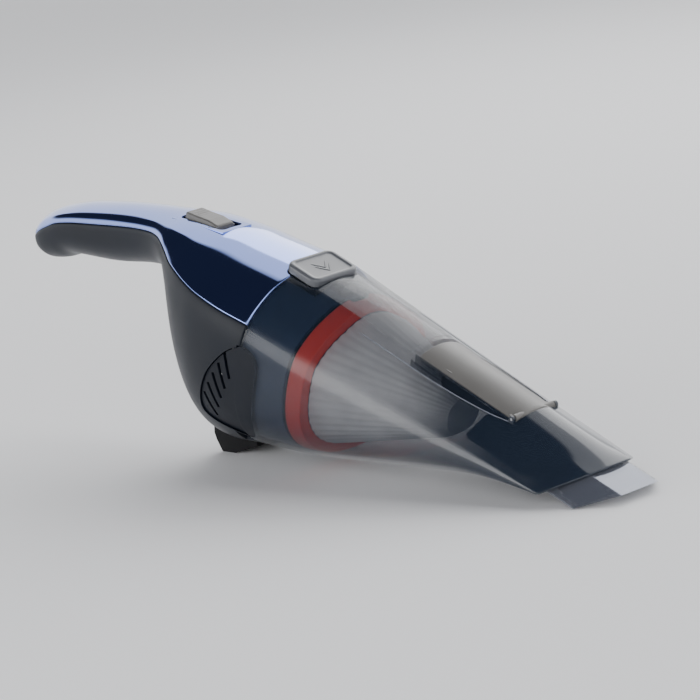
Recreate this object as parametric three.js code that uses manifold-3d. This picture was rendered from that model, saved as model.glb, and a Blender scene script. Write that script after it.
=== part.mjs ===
// Cordless handheld vacuum: housing with handle, slide-off dust bowl, filter, brush, nozzle and drive.
// Millimetres, +X towards the nozzle, +Z up, origin at the centre of the rear foot's flat underside.
// The bowl, filter, motor and nozzle are built in a bowl frame (u forward, y left, w up) whose origin
// is the centre of the joint between housing and bowl and which is pitched nose down.
import * as THREE from "three";
import Module from "manifold-3d";

const wasm = await Module();
wasm.setup();
const { Manifold, CrossSection } = wasm;
const rad = THREE.MathUtils.degToRad;

// ---------------------------------------------------------------- driving dimensions
const PITCH = 23.15; // nose-down angle of the bowl axis, degrees
const JUNCTION = { x: 58.5, z: 52.5 }; // centre of the housing-bowl joint
const GAP = 0.3; // clearance between neighbouring pieces
const HOUSING_WALL = 2.2;
const BOWL_WALL = 2.0;
const MOUTH_WALL = 1.5;
const MOUTH_U = 199; // lower edge of the bowl's mouth
const MOUTH_RAKE = 1.11; // how far the mouth leans forward per mm of height
const COLLAR = { rear: -8, front: 32, wall: 28, inset: 2.8, thick: 1.8 };
const SCREW_R = 1.2;
const CELL = { r: 9 };
const MOTOR = { r: 18, rear: -58, front: -4 };
const SHAFT_R = 1.58;
const BORE_R = 1.63;
const IMPELLER = { r: 27, rear: 8, front: 20, blades: 9 };
const BUTTON = { rear: -6, front: 18, half: 15, base: 51.6, top: 56, corner: 4 };
const SWITCH = { half: 6.5 };
const PANEL = { rear: 95, front: 163.4, bulge: 1.6, half: 13, thick: 2.2 };
const PIVOT = { u: 162, w: 51.4, r: 0.7, barrel: 1.9, lip: 2.85, ear: 1.7 }; // brush hinge
const FLAP = { u: 144.4, w: 45.6, barrel: 1.1, pin: 0.6 }; // inlet flap hinge
const SLEEVE = { rear: 150, front: 206, bottom: 36.65, top: 46.0, low: 26.5, high: 10.5, wall: 1.3 };
const LIP = { rear: 201.4, front: 219, top: 48, low: 27.6, high: 12, rearRake: 1.11, frontRake: 1.4 };

// ---------------------------------------------------------------- curves and sections
// Cubic curve through the knots that never overshoots them.
function curve(xs, ys) {
  const last = xs.length - 1;
  const rise = xs.slice(1).map((x, i) => (ys[i + 1] - ys[i]) / (x - xs[i]));
  const slope = xs.map((_, i) => {
    if (i === 0) return rise[0];
    if (i === last) return rise[last - 1];
    const product = rise[i - 1] * rise[i];
    return product <= 0 ? 0 : (2 * product) / (rise[i - 1] + rise[i]);
  });
  return (x) => {
    let i = 0;
    while (i < last - 1 && x > xs[i + 1]) i++;
    const h = xs[i + 1] - xs[i];
    const t = THREE.MathUtils.clamp((x - xs[i]) / h, 0, 1);
    const a = t * t * (3 - 2 * t);
    const b = t * (1 - t) * (1 - t) * h;
    const c = t * t * (t - 1) * h;
    return ys[i] * (1 - a) + ys[i + 1] * a + slope[i] * b + slope[i + 1] * c;
  };
}

// A section is named by its top centre, crease K, shoulder line L, widest point M and bottom centre.
// Each is a half width (y) and a height (w); "bulge" swells the flank between K and L.
const SEGMENTS = [2, 4, 2, 6];
function sectionPoints(p) {
  const right = [];
  const [top, flank, shoulder, belly] = SEGMENTS;
  for (let i = 0; i < top; i++) {
    const t = i / top;
    right.push([p.yk * t, p.wt - (p.wt - p.wk) * t * t]);
  }
  for (let i = 0; i < flank; i++) {
    const t = i / flank, s = 1 - t;
    const my = (p.yk + p.yl) / 2 + p.bulge * 0.7, mw = (p.wk + p.wl) / 2 + p.bulge * 0.7;
    right.push([s * s * p.yk + 2 * s * t * my + t * t * p.yl, s * s * p.wk + 2 * s * t * mw + t * t * p.wl]);
  }
  for (let i = 0; i < shoulder; i++) {
    const a = ((i / shoulder) * Math.PI) / 2;
    right.push([p.yl + (p.ym - p.yl) * Math.sin(a), p.wm + (p.wl - p.wm) * Math.cos(a)]);
  }
  for (let i = 0; i < belly; i++) {
    const a = ((i / belly) * Math.PI) / 2;
    const bend = (v) => Math.pow(v, 2 / 2.3);
    right.push([p.ym * bend(Math.cos(a)), p.wm - (p.wm - p.wb) * bend(Math.sin(a))]);
  }
  right.push([0, p.wb]);
  const left = right.slice(1, -1).reverse().map(([y, w]) => [-y, w]);
  return [...right, ...left];
}

// The same section with its outline moved inwards by t.
function shrink(p, t) {
  const wb = p.wb + t;
  const wm = Math.max(p.wm, wb + 0.8);
  const wl = Math.max(p.wl - 0.72 * t, wm + 0.4);
  return {
    ...p, wb, wm, wl,
    wt: p.wt - t, wk: Math.max(p.wk - 0.95 * t, wl + 0.4),
    yk: p.yk - 0.45 * t, yl: p.yl - 0.72 * t, ym: p.ym - t,
  };
}

const BOWL_U = [0, 40, 80, 120, 160, 199];
const bowlCurves = {
  wt: curve(BOWL_U, [53.2, 55.0, 55.4, 55.2, 53.8, 50.0]),
  yk: curve(BOWL_U, [24.3, 21, 18.5, 16, 14.5, 13.5]),
  wk: curve(BOWL_U, [47.8, 48.3, 48.8, 49.2, 49.4, 49.2]),
  yl: curve(BOWL_U, [41.7, 39.5, 36.5, 34, 32, 31]),
  wl: curve(BOWL_U, [29.6, 31.6, 33.5, 35, 36, 36.5]),
  ym: curve(BOWL_U, [45.5, 44, 40.5, 37, 33.3, 31.2]),
  wm: curve(BOWL_U, [3, 9, 17, 25, 31.5, 35.8]),
  wb: curve(BOWL_U, [-50, -35.5, -18, 0.5, 20, 34.8]),
};
const ease = (a, b, x) => THREE.MathUtils.smoothstep(x, a, b);
function bowlSection(u, inset = 0) {
  const p = { bulge: 3.2 - 1.3 * ease(0, 200, u) };
  for (const [key, f] of Object.entries(bowlCurves)) p[key] = f(u);
  return inset ? shrink(p, inset) : p;
}
function bowlRing(u, inset = 0) {
  const base = bowlCurves.wb(u);
  const rake = MOUTH_RAKE * ease(110, MOUTH_U, u);
  const onRake = ([y, w]) => new THREE.Vector3(u + rake * (w - base), -y, w);
  return sectionPoints(bowlSection(u, inset)).map(onRake);
}

// Housing stations run from the joint back to the end of the handle. Top and bottom are side-view
// points relative to the joint's centre line; the rest are half widths and shares of the height.
const sine = Math.sin(rad(PITCH)), cosine = Math.cos(rad(PITCH));
const atJoint = (w) => [w * sine, JUNCTION.z + w * cosine];
const HOUSING_TOP = [
  atJoint(53.2), [0, 107.5], [-20, 113], [-35, 117], [-47, 119.5], [-56, 121.3], [-64, 122.7], [-72, 124],
  [-81, 125.2], [-92, 126.5], [-110, 127.8], [-135, 128.5], [-160, 128.2], [-180, 126.5], [-191, 124.7],
  [-200, 121.8], [-206, 118], [-209, 112],
];
const HOUSING_BOTTOM = [
  atJoint(-50), [-38, 6.8], [-53, 9.8], [-63, 17], [-68, 27], [-71, 42], [-72, 60], [-73.5, 76],
  [-78, 89], [-90, 96.5], [-109, 97.6], [-134, 97], [-158, 98.6], [-176, 100], [-187, 97.2],
  [-197, 96.6], [-204, 98.8], [-208, 103.5],
];
const HALF_WIDTH = [45.5, 46, 45, 42, 38.5, 34.5, 30.5, 26.5, 22.5, 19, 17.3, 17, 16.8, 16.5, 16, 15, 13, 9];
const CREASE_Y = [
  0.534, 0.52, 0.5, 0.52, 0.55, 0.58, 0.62, 0.66, 0.7, 0.74, 0.76, 0.77, 0.77, 0.77, 0.76, 0.76, 0.76, 0.76,
];
const CREASE_DROP = [
  0.052, 0.048, 0.045, 0.042, 0.04, 0.04, 0.045, 0.055, 0.075,
  0.1, 0.11, 0.11, 0.11, 0.12, 0.13, 0.15, 0.2, 0.2,
];
const WIDEST_DROP = [
  0.486, 0.46, 0.44, 0.42, 0.4, 0.4, 0.4, 0.42, 0.46, 0.5, 0.52, 0.52, 0.52, 0.52, 0.5, 0.5, 0.5, 0.5,
];
const SHOULDER_Y = [
  0.916, 0.92, 0.92, 0.92, 0.92, 0.93, 0.93, 0.94, 0.94, 0.95, 0.95, 0.95, 0.95, 0.95, 0.95, 0.95, 0.95, 0.95,
];
const SHOULDER_DROP = [
  0.229, 0.21, 0.19, 0.18, 0.17, 0.18, 0.19, 0.2, 0.23, 0.27, 0.28, 0.28, 0.28, 0.28, 0.3, 0.32, 0.35, 0.35,
];
const byStation = (values) => curve(values.map((_, i) => i), values);
const housingCurves = {
  topX: byStation(HOUSING_TOP.map((p) => p[0])), topZ: byStation(HOUSING_TOP.map((p) => p[1])),
  bottomX: byStation(HOUSING_BOTTOM.map((p) => p[0])), bottomZ: byStation(HOUSING_BOTTOM.map((p) => p[1])),
  half: byStation(HALF_WIDTH), creaseY: byStation(CREASE_Y), crease: byStation(CREASE_DROP),
  widest: byStation(WIDEST_DROP), shoulderY: byStation(SHOULDER_Y), shoulder: byStation(SHOULDER_DROP),
};
function housingFrame(s) {
  const c = housingCurves;
  const bottom = new THREE.Vector2(c.bottomX(s) + JUNCTION.x, c.bottomZ(s));
  const top = new THREE.Vector2(c.topX(s) + JUNCTION.x, c.topZ(s));
  const height = top.distanceTo(bottom);
  const up = top.sub(bottom).divideScalar(height);
  const place = ([y, q]) => new THREE.Vector3(bottom.x + up.x * q, -y, bottom.y + up.y * q);
  const half = c.half(s);
  const section = {
    wt: height, wk: height * (1 - c.crease(s)), wl: height * (1 - c.shoulder(s)),
    wm: height * (1 - c.widest(s)), wb: 0, ym: half, yk: half * c.creaseY(s), yl: half * c.shoulderY(s),
    bulge: (3.2 * half) / 45.5,
  };
  return { section, place, height };
}
function housingRing(s, inset = 0) {
  const { section, place } = housingFrame(s);
  return sectionPoints(inset ? shrink(section, inset) : section).map(place);
}
// The part of a station above the cover's edge, widened outwards, as a closed outline.
function coverRing(s, count) {
  const { section, place, height } = housingFrame(s);
  const points = sectionPoints(section);
  const centre = height * 0.5;
  const n = points.length, edge = SEGMENTS[0] + SEGMENTS[1];
  const above = [];
  for (let i = -count; i <= count; i++) {
    const [y, w] = points[((i * edge) / count + n) % n];
    above.push([y * 1.3, centre + (w - centre) * 1.3]);
  }
  return [[0, centre], ...above].map(place);
}

// ---------------------------------------------------------------- solids
function solid(vertices, triangles) {
  const build = (tri) => new Manifold(new wasm.Mesh({
    numProp: 3, vertProperties: new Float32Array(vertices), triVerts: new Uint32Array(tri),
  }));
  const made = build(triangles);
  if (made.volume() > 0) return made;
  const turned = [];
  for (let i = 0; i < triangles.length; i += 3) turned.push(triangles[i], triangles[i + 2], triangles[i + 1]);
  return build(turned);
}
// Closed body through a row of outlines with equal point counts, capped by fans about their centres.
function loft(rings) {
  const n = rings[0].length;
  const vertices = rings.flat().flatMap((v) => [v.x, v.y, v.z]);
  const triangles = [];
  for (let i = 0; i < rings.length - 1; i++) {
    for (let j = 0; j < n; j++) {
      const a = i * n + j, b = i * n + ((j + 1) % n);
      triangles.push(a, b, b + n, a, b + n, a + n);
    }
  }
  for (const i of [0, rings.length - 1]) {
    const centre = rings[i].reduce((sum, v) => sum.add(v), new THREE.Vector3()).divideScalar(n);
    const hub = vertices.length / 3;
    vertices.push(centre.x, centre.y, centre.z);
    for (let j = 0; j < n; j++) {
      const a = i * n + j, b = i * n + ((j + 1) % n);
      triangles.push(...(i === 0 ? [hub, b, a] : [hub, a, b]));
    }
  }
  return solid(vertices, triangles);
}
const spread = (from, to, steps) =>
  Array.from({ length: steps + 1 }, (_, i) => from + ((to - from) * i) / steps);
const union = (...parts) => Manifold.union(parts.flat());
const minus = (body, ...cutters) => Manifold.difference([body, ...cutters.flat()]);
const common = (...parts) => Manifold.intersection(parts.flat());
const box = (x0, x1, y0, y1, z0, z1) => Manifold.cube([x1 - x0, y1 - y0, z1 - z0]).translate([x0, y0, z0]);
const both = (part) => [part, part.mirror([0, 1, 0])];
// Cylinder between two points, with a second radius for a cone.
function rod(from, to, r, segments = 20, r2 = r) {
  const a = new THREE.Vector3(...from), b = new THREE.Vector3(...to);
  const direction = b.clone().sub(a).normalize();
  const turn = new THREE.Quaternion().setFromUnitVectors(new THREE.Vector3(0, 0, 1), direction);
  const matrix = new THREE.Matrix4().compose(a, turn, new THREE.Vector3(1, 1, 1));
  return Manifold.cylinder(a.distanceTo(b), r, r2, segments).transform(matrix.elements);
}
// Side-view outline (x, z) extruded from y0 to y1.
const SIDE = [1, 0, 0, 0, 0, 0, 1, 0, 0, -1, 0, 0, 0, 0, 0, 1];
const prism = (outline, y0, y1) =>
  new CrossSection([outline], "NonZero").extrude(y1 - y0).transform(SIDE).translate([0, y1, 0]);
// Front-view outline (y, w) extruded along u.
const FRONT = [0, 1, 0, 0, 0, 0, 1, 0, 1, 0, 0, 0, 0, 0, 0, 1];
const forward = (section, u0, u1) => section.extrude(u1 - u0).transform(FRONT).translate([u0, 0, 0]);
const rounded = (outline, r) => new CrossSection([outline], "NonZero").offset(-r).offset(r, "Round", 2, 12);
const ring = (rOut, rIn, u0, u1, n = 28) =>
  forward(CrossSection.circle(rOut, n).subtract(CrossSection.circle(rIn, n)), u0, u1);
const inPart = (body) => body.rotate([0, PITCH, 0]).translate([JUNCTION.x, 0, JUNCTION.z]);
const toBowl = (body) => body.translate([-JUNCTION.x, 0, -JUNCTION.z]).rotate([0, -PITCH, 0]);
const bowlBody = (u0, u1, inset, steps) => loft(spread(u0, u1, steps).map((u) => bowlRing(u, inset)));
const bowlLayer = (u0, u1, outer, inner, steps) =>
  minus(bowlBody(u0, u1, outer, steps), bowlBody(u0 - 1, u1 + 1, inner, steps));

function tube(points, r, sides = 6, steps = 20) {
  const path = new THREE.CatmullRomCurve3(points.map((p) => new THREE.Vector3(...p)), false, "centripetal");
  const outline = new THREE.Shape();
  for (let i = 0; i < sides; i++) {
    const a = (i / sides) * Math.PI * 2;
    outline[i ? "lineTo" : "moveTo"](r * Math.cos(a), r * Math.sin(a));
  }
  const geometry = new THREE.ExtrudeGeometry(outline, { steps, extrudePath: path, bevelEnabled: false });
  return geometry;
}

// ---------------------------------------------------------------- materials and the group
const vacuum = new THREE.Group();
vacuum.name = "handheld_vacuum";
const paint = (color, metalness, roughness, extra = {}) =>
  new THREE.MeshStandardMaterial({ color, metalness, roughness, ...extra });
const glossBlue = paint(0x9db4e8, 0.7, 0.15);
const navy = paint(0x252c37, 0.0, 0.45);
const deepBlue = paint(0x3a4c6e, 0.0, 0.4);
const black = paint(0x15171b, 0.0, 0.6);
const rubberBlack = paint(0x1c1c1e, 0.0, 0.9);
const smoked = paint(0x5f7393, 0.0, 0.1, { transparent: true, opacity: 0.4 });
const clearGrey = paint(0xa9b0bd, 0.0, 0.15, { transparent: true, opacity: 0.6 });
const warmGrey = paint(0xb3aca3, 0.0, 0.45);
const midGrey = paint(0x8f9093, 0.1, 0.4);
const red = paint(0xc0392f, 0.0, 0.5);
const fleece = paint(0xd5d6d8, 0.0, 0.95);
const steel = paint(0xb8bcc2, 1.0, 0.3);
const brass = paint(0xc9a45c, 1.0, 0.35);
const cellGreen = paint(0x2f8f5b, 0.0, 0.5);
const boardGreen = paint(0x1f5f3a, 0.0, 0.5);
const wireRed = paint(0xb3231c, 0.0, 0.6);

function geometryOf(body) {
  const mesh = body.simplify(0.03).getMesh();
  const n = mesh.numProp, flat = new Float32Array(mesh.numVert * 3);
  for (let i = 0; i < mesh.numVert; i++) flat.set(mesh.vertProperties.subarray(i * n, i * n + 3), i * 3);
  const geometry = new THREE.BufferGeometry();
  geometry.setAttribute("position", new THREE.BufferAttribute(flat, 3));
  geometry.setIndex(new THREE.BufferAttribute(mesh.triVerts, 1));
  return geometry;
}
function add(name, geometry, material) {
  const mesh = new THREE.Mesh(geometry instanceof Manifold ? geometryOf(geometry) : geometry, material);
  mesh.name = name;
  vacuum.add(mesh);
}
const addFront = (name, body, material) => add(name, inPart(body), material);

// ---------------------------------------------------------------- bowl-side cutters
// Exhaust notch in the bowl's rear edge and the crescent behind it, as a side outline (u, w).
const notch = (g) => [
  [-2, 18.2 + g], [7.5 + g, 18 + g], [12.2 + g, 14.5 + g], [13.9 + g, 8], [13.2 + g, -5], [11 + g, -20],
  [8.4 + g, -32 - g], [4, -37.5 - g], [-2, -38 - g],
];
const crescent = (g) => [
  [0.5, 18.2 + g], [-9 - g, 12 + g], [-20 - g, -3], [-25 - g, -14], [-29 - g, -28], [-29 - g, -36 - g],
  [-20, -38 - g], [0.5, -38 - g],
];
const sidePair = (outline) => both(prism(outline.map(([x, z]) => [x, z]), 18, 60));
const buttonShape = (g) => CrossSection.square(
  [BUTTON.front - BUTTON.rear + 2 * g - 8, 2 * BUTTON.half + 2 * g - 8], true)
  .offset(BUTTON.corner, "Round", 2, 24).translate([(BUTTON.front + BUTTON.rear) / 2, 0]);
const buttonHole = buttonShape(0.5).extrude(30).translate([0, 0, 44]);
const tab = (g) => both(box(-8 - g, 1 + g, 26 - g, 41 + g, -46, -39 + g));

// ---------------------------------------------------------------- housing
const stations = [
  0, 0.5, 1, 1.5, 2, 2.5, 3, 3.7, 4.5, 5.5, 6.4, 7.2, 7.8, 8.4, 9, 9.6, 10.3, 11.4, 12.5, 13.3,
  14, 14.6, 15.2, 15.8, 16.4, 17,
];
const inner = [0, 0.5, 1, 2, 3, 4.5, 6, 7, 7.8, 8.6, 9.5, 10.5, 12, 13.2, 14, 14.8, 15.6];
const shell = loft(stations.map((s) => housingRing(s)));
const ahead = (points, d) => points.map((v) => v.clone().add(new THREE.Vector3(d * cosine, 0, -d * sine)));
// Space inside the housing's skin, reaching "reach" in front of the joint.
const within = (inset, reach = 2) =>
  loft([ahead(housingRing(0, inset), reach), ...inner.map((s) => housingRing(s, inset))]);
const flanks = SEGMENTS[0] + SEGMENTS[1];
const coverZone = loft([
  ahead(coverRing(0, flanks), 3), ...stations.map((s) => coverRing(s, flanks)),
  coverRing(17, flanks).map((v) => v.clone().add(new THREE.Vector3(-3, 0, 0))),
]);
const wall = minus(shell, within(HOUSING_WALL));
const trimmed = (part) => common(part, within(1.0, 0.01));
const X = (x) => x + JUNCTION.x; // side-view x measured from the joint

// Power switch pocket in the cover, pitched with the cover's top line.
const SLOPE = 9; // degrees the cover falls forward under the switch
const pocketFrame = (body) => body.rotate([0, SLOPE, 0]).translate([X(-59), 0, 121.9]);
const pocketBlock = pocketFrame(box(-21, 21, -9.5, 9.5, -4.6, -0.6));
const pocket = pocketFrame(union(
  box(-17.5, 17.5, -SWITCH.half - 0.8, SWITCH.half + 0.8, -3.2, 6),
  box(-4.5, 11.5, -2.2, 2.2, -8, 6),
));
const screws = [
  { name: "housing_screw_1", at: [X(-196.4), 105], reach: 8 },
  { name: "housing_screw_2", at: [X(-78.5), 101.5], reach: 14 },
  { name: "housing_screw_3", at: [X(-60), 27], reach: 18 },
  { name: "housing_screw_4", at: [X(-33), 15.5], reach: 20 },
];
const across = ([x, z], y0, y1, r, n = 14) => rod([x, y0, z], [x, y1, z], r, n);

const posts = both(rod([X(-30), 12, 99.2], [X(-30), 12, 120], 3, 14));
const cover = minus(
  union(common(wall, coverZone.translate([0.15, 0, 0.3])), common(union(pocketBlock, posts), within(0.8))),
  pocket, inPart(buttonHole),
);
add("top_cover", cover, glossBlue);

const pegs = [[X(-53), 8], [X(-45), 8]];
const socketHole = rod([X(-80), 0, 43], [X(-60), 0, 43], 5.2, 28);
const ledges = [box(X(-58), X(-48), 14.8, 45, 95.2, 97.0), box(X(-58), X(-48), 14.8, 45, 99.2, 101.0)];
const cradle = (x, z) => minus(
  box(x, x + 2, 0, 20, 90, 113), rod([x - 1, 0, z], [x + 3, 0, z], CELL.r + GAP, 20));
const motorRib = inPart(box(-14.6, -12.4, 3, 24, -55, -38));
const ribs = [
  ...ledges, motorRib,
  cradle(X(-180), 111.8), cradle(X(-152), 112.4), cradle(X(-126), 111.8), cradle(X(-98), 111),
];
const lower = minus(
  wall, coverZone.translate([-0.15, 0, -0.1]), inPart(union(sidePair(notch(GAP)))),
  inPart(union(sidePair(crescent(GAP)))), inPart(union(tab(GAP))), inPart(buttonHole), socketHole,
  pegs.flatMap(([x, y]) => both(rod([x, y, -5], [x, y, 20], 2.3, 16))),
);
const grown = loft(stations.map((s) => housingRing(s, -0.35)));
const coverRoom = common(minus(grown, within(HOUSING_WALL + GAP)), coverZone.translate([-0.15, 0, -0.1]));
const sideZone = (sign) => (
  sign > 0 ? box(-300, 300, GAP / 2, 100, -20, 200) : box(-300, 300, -100, -GAP / 2, -20, 200)
);
for (const [name, sign] of [["housing_left", 1], ["housing_right", -1]]) {
  const mirrored = (part) => (sign > 0 ? part : part.mirror([0, 1, 0]));
  const fittings = ribs.map((part) => trimmed(mirrored(part)));
  const bosses = screws.map(({ at }) => trimmed(across(at, sign > 0 ? 0 : -60, sign > 0 ? 60 : 0, 3.4)));
  const holes = screws.map(({ at, reach }) =>
    sign > 0
      ? union(across(at, -1, 60, SCREW_R + 0.35), across(at, reach, 60, 2.9))
      : across(at, -8, 1, SCREW_R + 0.35));
  const half = minus(
    union(common(lower, sideZone(sign)), common(union(fittings, bosses), sideZone(sign))),
    holes, coverRoom,
  );
  add(name, half, navy);
}
for (const { name, at, reach } of screws) {
  const shank = across(at, -7, reach + 0.8, SCREW_R, 12);
  add(name, union(shank, across(at, reach + 0.3, reach + 2.3, 2.5, 18)), steel);
}

// Exhaust cheeks: flush in the notch, a little sunk in the crescent, with louvres there.
const cheekNotch = minus(bowlLayer(-0.5, 16, 0.25, 2.2, 4));
const cheekRear = toBowl(minus(within(0.9, 0.01), within(2.3)));
const louvres = both(union([0, 1, 2, 3, 4].map((i) =>
  box(-1.1, 1.1, 20, 60, -7, 7).rotate([0, -24 - 2 * i, 0]).translate([-8 - i * 3.4, 0, 3 - i * 7.6]))));
const cheeks = minus(
  union(common(cheekNotch, union(sidePair(notch(0)))), common(cheekRear, union(sidePair(crescent(0))))),
  louvres, tab(GAP),
);
add("exhaust_cheek_left", common(inPart(cheeks), box(-300, 300, 5, 100, -20, 200)), black);
add("exhaust_cheek_right", common(inPart(cheeks), box(-300, 300, -100, -5, -20, 200)), black);

// Rear foot with pegs that plug into the underside.
const footOutline = [
  [X(-68.5), 10], [X(-67.5), 6.5], [X(-64), 0], [X(-53), 0],
  [X(-37), 4.4], [X(-33), 5.2], [X(-33), 14], [X(-66), 22],
];
const foot = union(
  minus(prism(footOutline, -14, 14), grown),
  pegs.flatMap(([x, y]) => both(rod([x, y, 3], [x, y, 15.5], 2, 16))),
);
add("rear_foot", foot, rubberBlack);

// Charging socket in the rear wall.
const socket = union(
  minus(rod([X(-71), 0, 43], [X(-62), 0, 43], 4.8, 28), rod([X(-76), 0, 43], [X(-64), 0, 43], 3.0, 24)),
  rod([X(-70), 0, 43], [X(-63), 0, 43], 0.9, 12), box(X(-62.5), X(-57), -6, 6, 37, 49),
);
add("charging_socket", socket, black);

// ---------------------------------------------------------------- drive
const gasketRing = ring(17, 12.5, -3.7, -2.3);
const shaft = rod([-64, 0, 0], [21, 0, 0], SHAFT_R, 16);
const bore = rod([-70, 0, 0], [30, 0, 0], BORE_R, 16);
const motorBody = minus(
  union(
    rod([MOTOR.rear, 0, 0], [MOTOR.front, 0, 0], MOTOR.r, 36), rod([-61, 0, 0], [-57, 0, 0], 6, 20),
    rod([MOTOR.front - 1, 0, 0], [-2.4, 0, 0], 5, 20),
    box(-62, -57, -12.5, -11.5, -2.5, 2.5), box(-62, -57, 11.5, 12.5, -2.5, 2.5),
  ),
  bore, both(rod([-13, 8, 0], [0, 8, 0], SCREW_R + 0.35, 14)),
);
addFront("motor", motorBody, steel);
addFront("motor_shaft", shaft, steel);
addFront("motor_gasket", gasketRing, rubberBlack);
for (const [name, y] of [["motor_screw_1", 8], ["motor_screw_2", -8]]) {
  const shank = rod([-12, y, 0], [0.2, y, 0], SCREW_R, 12);
  addFront(name, union(shank, rod([0, y, 0], [1.8, y, 0], 2.4, 16)), steel);
}
const bracketPlate = rounded([[-24, -60], [24, -60], [24, 60], [-24, 60]], 4);
const bracket = common(
  forward(bracketPlate.subtract(CrossSection.circle(MOTOR.r + GAP, 36)), -12, -9.2), toBowl(within(3.2)));
addFront("motor_bracket", bracket, midGrey);

const blade = (i) => box(6.5, IMPELLER.r - 1, -0.6, 0.6, 0, IMPELLER.front - IMPELLER.rear - 1)
  .warp((v) => { v[1] += 0.012 * (v[0] - 6) ** 2; })
  .rotate([0, 0, (360 / IMPELLER.blades) * i]).transform(FRONT).translate([IMPELLER.rear + 1, 0, 0]);
const impeller = minus(
  union(
    rod([IMPELLER.rear, 0, 0], [IMPELLER.rear + 1.4, 0, 0], IMPELLER.r, 40),
    rod([IMPELLER.rear - 2, 0, 0], [IMPELLER.front - 1, 0, 0], 6.8, 24),
    Array.from({ length: IMPELLER.blades }, (_, i) => blade(i)),
  ),
  bore,
);
addFront("impeller", impeller, midGrey);

const outlets = [20, 65, 115, 160, 200, 245, 295, 340].map((angle) =>
  box(5, 22, -4.5, 4.5, 26, 32).rotate([angle, 0, 0]));
const shroud = minus(
  union(ring(29.8, 28.3, -2, 27.6), ring(29.8, 10.5, 26.2, 27.6), ring(29.8, 5.4, -2, -0.4)),
  outlets, both(rod([-3, 8, 0], [0, 8, 0], SCREW_R + 0.35, 14)),
);
addFront("fan_shroud", shroud, navy);

// Battery: two round cells nose to tail along the handle.
const cells = [
  ["battery_cell_1", [X(-190), 0, 111.6], [X(-140), 0, 112.6]],
  ["battery_cell_2", [X(-138.4), 0, 112.4], [X(-88.6), 0, 110.8]],
];
for (const [name, a, b] of cells) {
  const from = new THREE.Vector3(...a), to = new THREE.Vector3(...b);
  const tip = to.clone().add(to.clone().sub(from).normalize().multiplyScalar(0.9));
  add(name, union(rod(a, b, CELL.r, 32), rod(b, tip.toArray(), 3.2, 16)), cellGreen);
}

// Board with micro switch, wires to the motor.
const board = minus(
  box(X(-58), X(-26), -18, 18, 97.3, 98.9),
  both(rod([X(-36), 6, 90], [X(-36), 6, 105], 1.6, 14)),
);
add("circuit_board", board, boardGreen);
const microSwitch = union(
  box(X(-55), X(-43), -3.2, 3.2, 99.2, 106), box(X(-51), X(-48.4), -1.2, 1.2, 105.5, 107.6),
);
add("micro_switch", microSwitch, black);
const terminal = (y) => {
  const v = new THREE.Vector3(-62.5, y, 0).applyAxisAngle(new THREE.Vector3(0, 1, 0), rad(PITCH));
  return [v.x + JUNCTION.x, y, v.z + JUNCTION.z];
};
const [tx, , tz] = terminal(0);
const wirePath = (side) => [
  [tx - 0.4, 12 * side, tz], [tx - 4, 13 * side, tz + 4], [X(-55), 13 * side, 88], [X(-48), 12 * side, 96.8],
];
add("wire_red", tube(wirePath(1), 0.9), wireRed);
add("wire_black", tube(wirePath(-1), 0.9), black);

// ---------------------------------------------------------------- collar between housing and bowl
const latchSlot = box(BUTTON.rear - 3, 19.4, -15.7, 15.7, 40, 60);
const armSlot = union(box(0, 28, -6.6, 6.6, 40, 60), box(27, 33, -6.6, 6.6, 48.9, 60));
const grillHoles = [];
for (const [count, r, offset] of [[7, 13.5, 0], [11, 22.5, 15]]) {
  for (let i = 0; i < count; i++) {
    const a = rad(offset + (360 / count) * i);
    const [y, w] = [r * Math.cos(a), r * Math.sin(a)];
    grillHoles.push(rod([20, y, w], [40, y, w], 2.8, 6));
  }
}
const collarRings = [[COLLAR.rear, 1.2], [0, 0.5], [6, 0], [16, 0], [COLLAR.wall, 0], [COLLAR.front, 0]];
const collar = minus(
  union(
    minus(
      loft(collarRings.map(([u, extra]) => bowlRing(u, COLLAR.inset + extra))),
      loft([[-10, 1.2], ...collarRings.slice(0, -1)].map(([u, extra]) =>
        bowlRing(Math.min(u, COLLAR.wall), COLLAR.inset + COLLAR.thick + extra))),
    ),
    box(1, 29, -6.5, 6.5, 30.4, 32.4),
  ),
  latchSlot, armSlot, grillHoles, rod([20, 0, 0], [40, 0, 0], 5, 12),
);
addFront("bowl_collar", collar, deepBlue);

// ---------------------------------------------------------------- bowl release button
const plate = minus(
  Manifold.hull([
    buttonShape(0).extrude(2.6).translate([0, 0, BUTTON.base]),
    buttonShape(-0.9).extrude(0.2).translate([0, 0, BUTTON.top - 0.2]),
  ]),
  buttonShape(-3.2).extrude(3).translate([0, 0, BUTTON.top - 0.7]),
);
const latchHook = union(
  box(4, 10, -4.5, 4.5, 43, 52.4), box(4, 27.2, -4.5, 4.5, 43, 46.4),
  Manifold.hull([box(24.2, 27.2, -4.5, 4.5, 46, 50.6), box(24.2, 25.2, -4.5, 4.5, 46, 51.6)]),
);
addFront("release_button", union(plate, latchHook), midGrey);
const coil = [];
for (let i = 0; i <= 40; i++) {
  const a = (i / 40) * Math.PI * 2 * 4;
  const w = 33.15 + (9.1 * i) / 40;
  coil.push([7 + 2.8 * Math.cos(a), 2.8 * Math.sin(a), w]);
}
const coilInPart = coil.map(([u, y, w]) => {
  const v = new THREE.Vector3(u, y, w).applyAxisAngle(new THREE.Vector3(0, 1, 0), rad(PITCH));
  return [v.x + JUNCTION.x, v.y, v.z + JUNCTION.z];
});
add("release_spring", tube(coilInPart, 0.45, 5, 60), steel);

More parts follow.
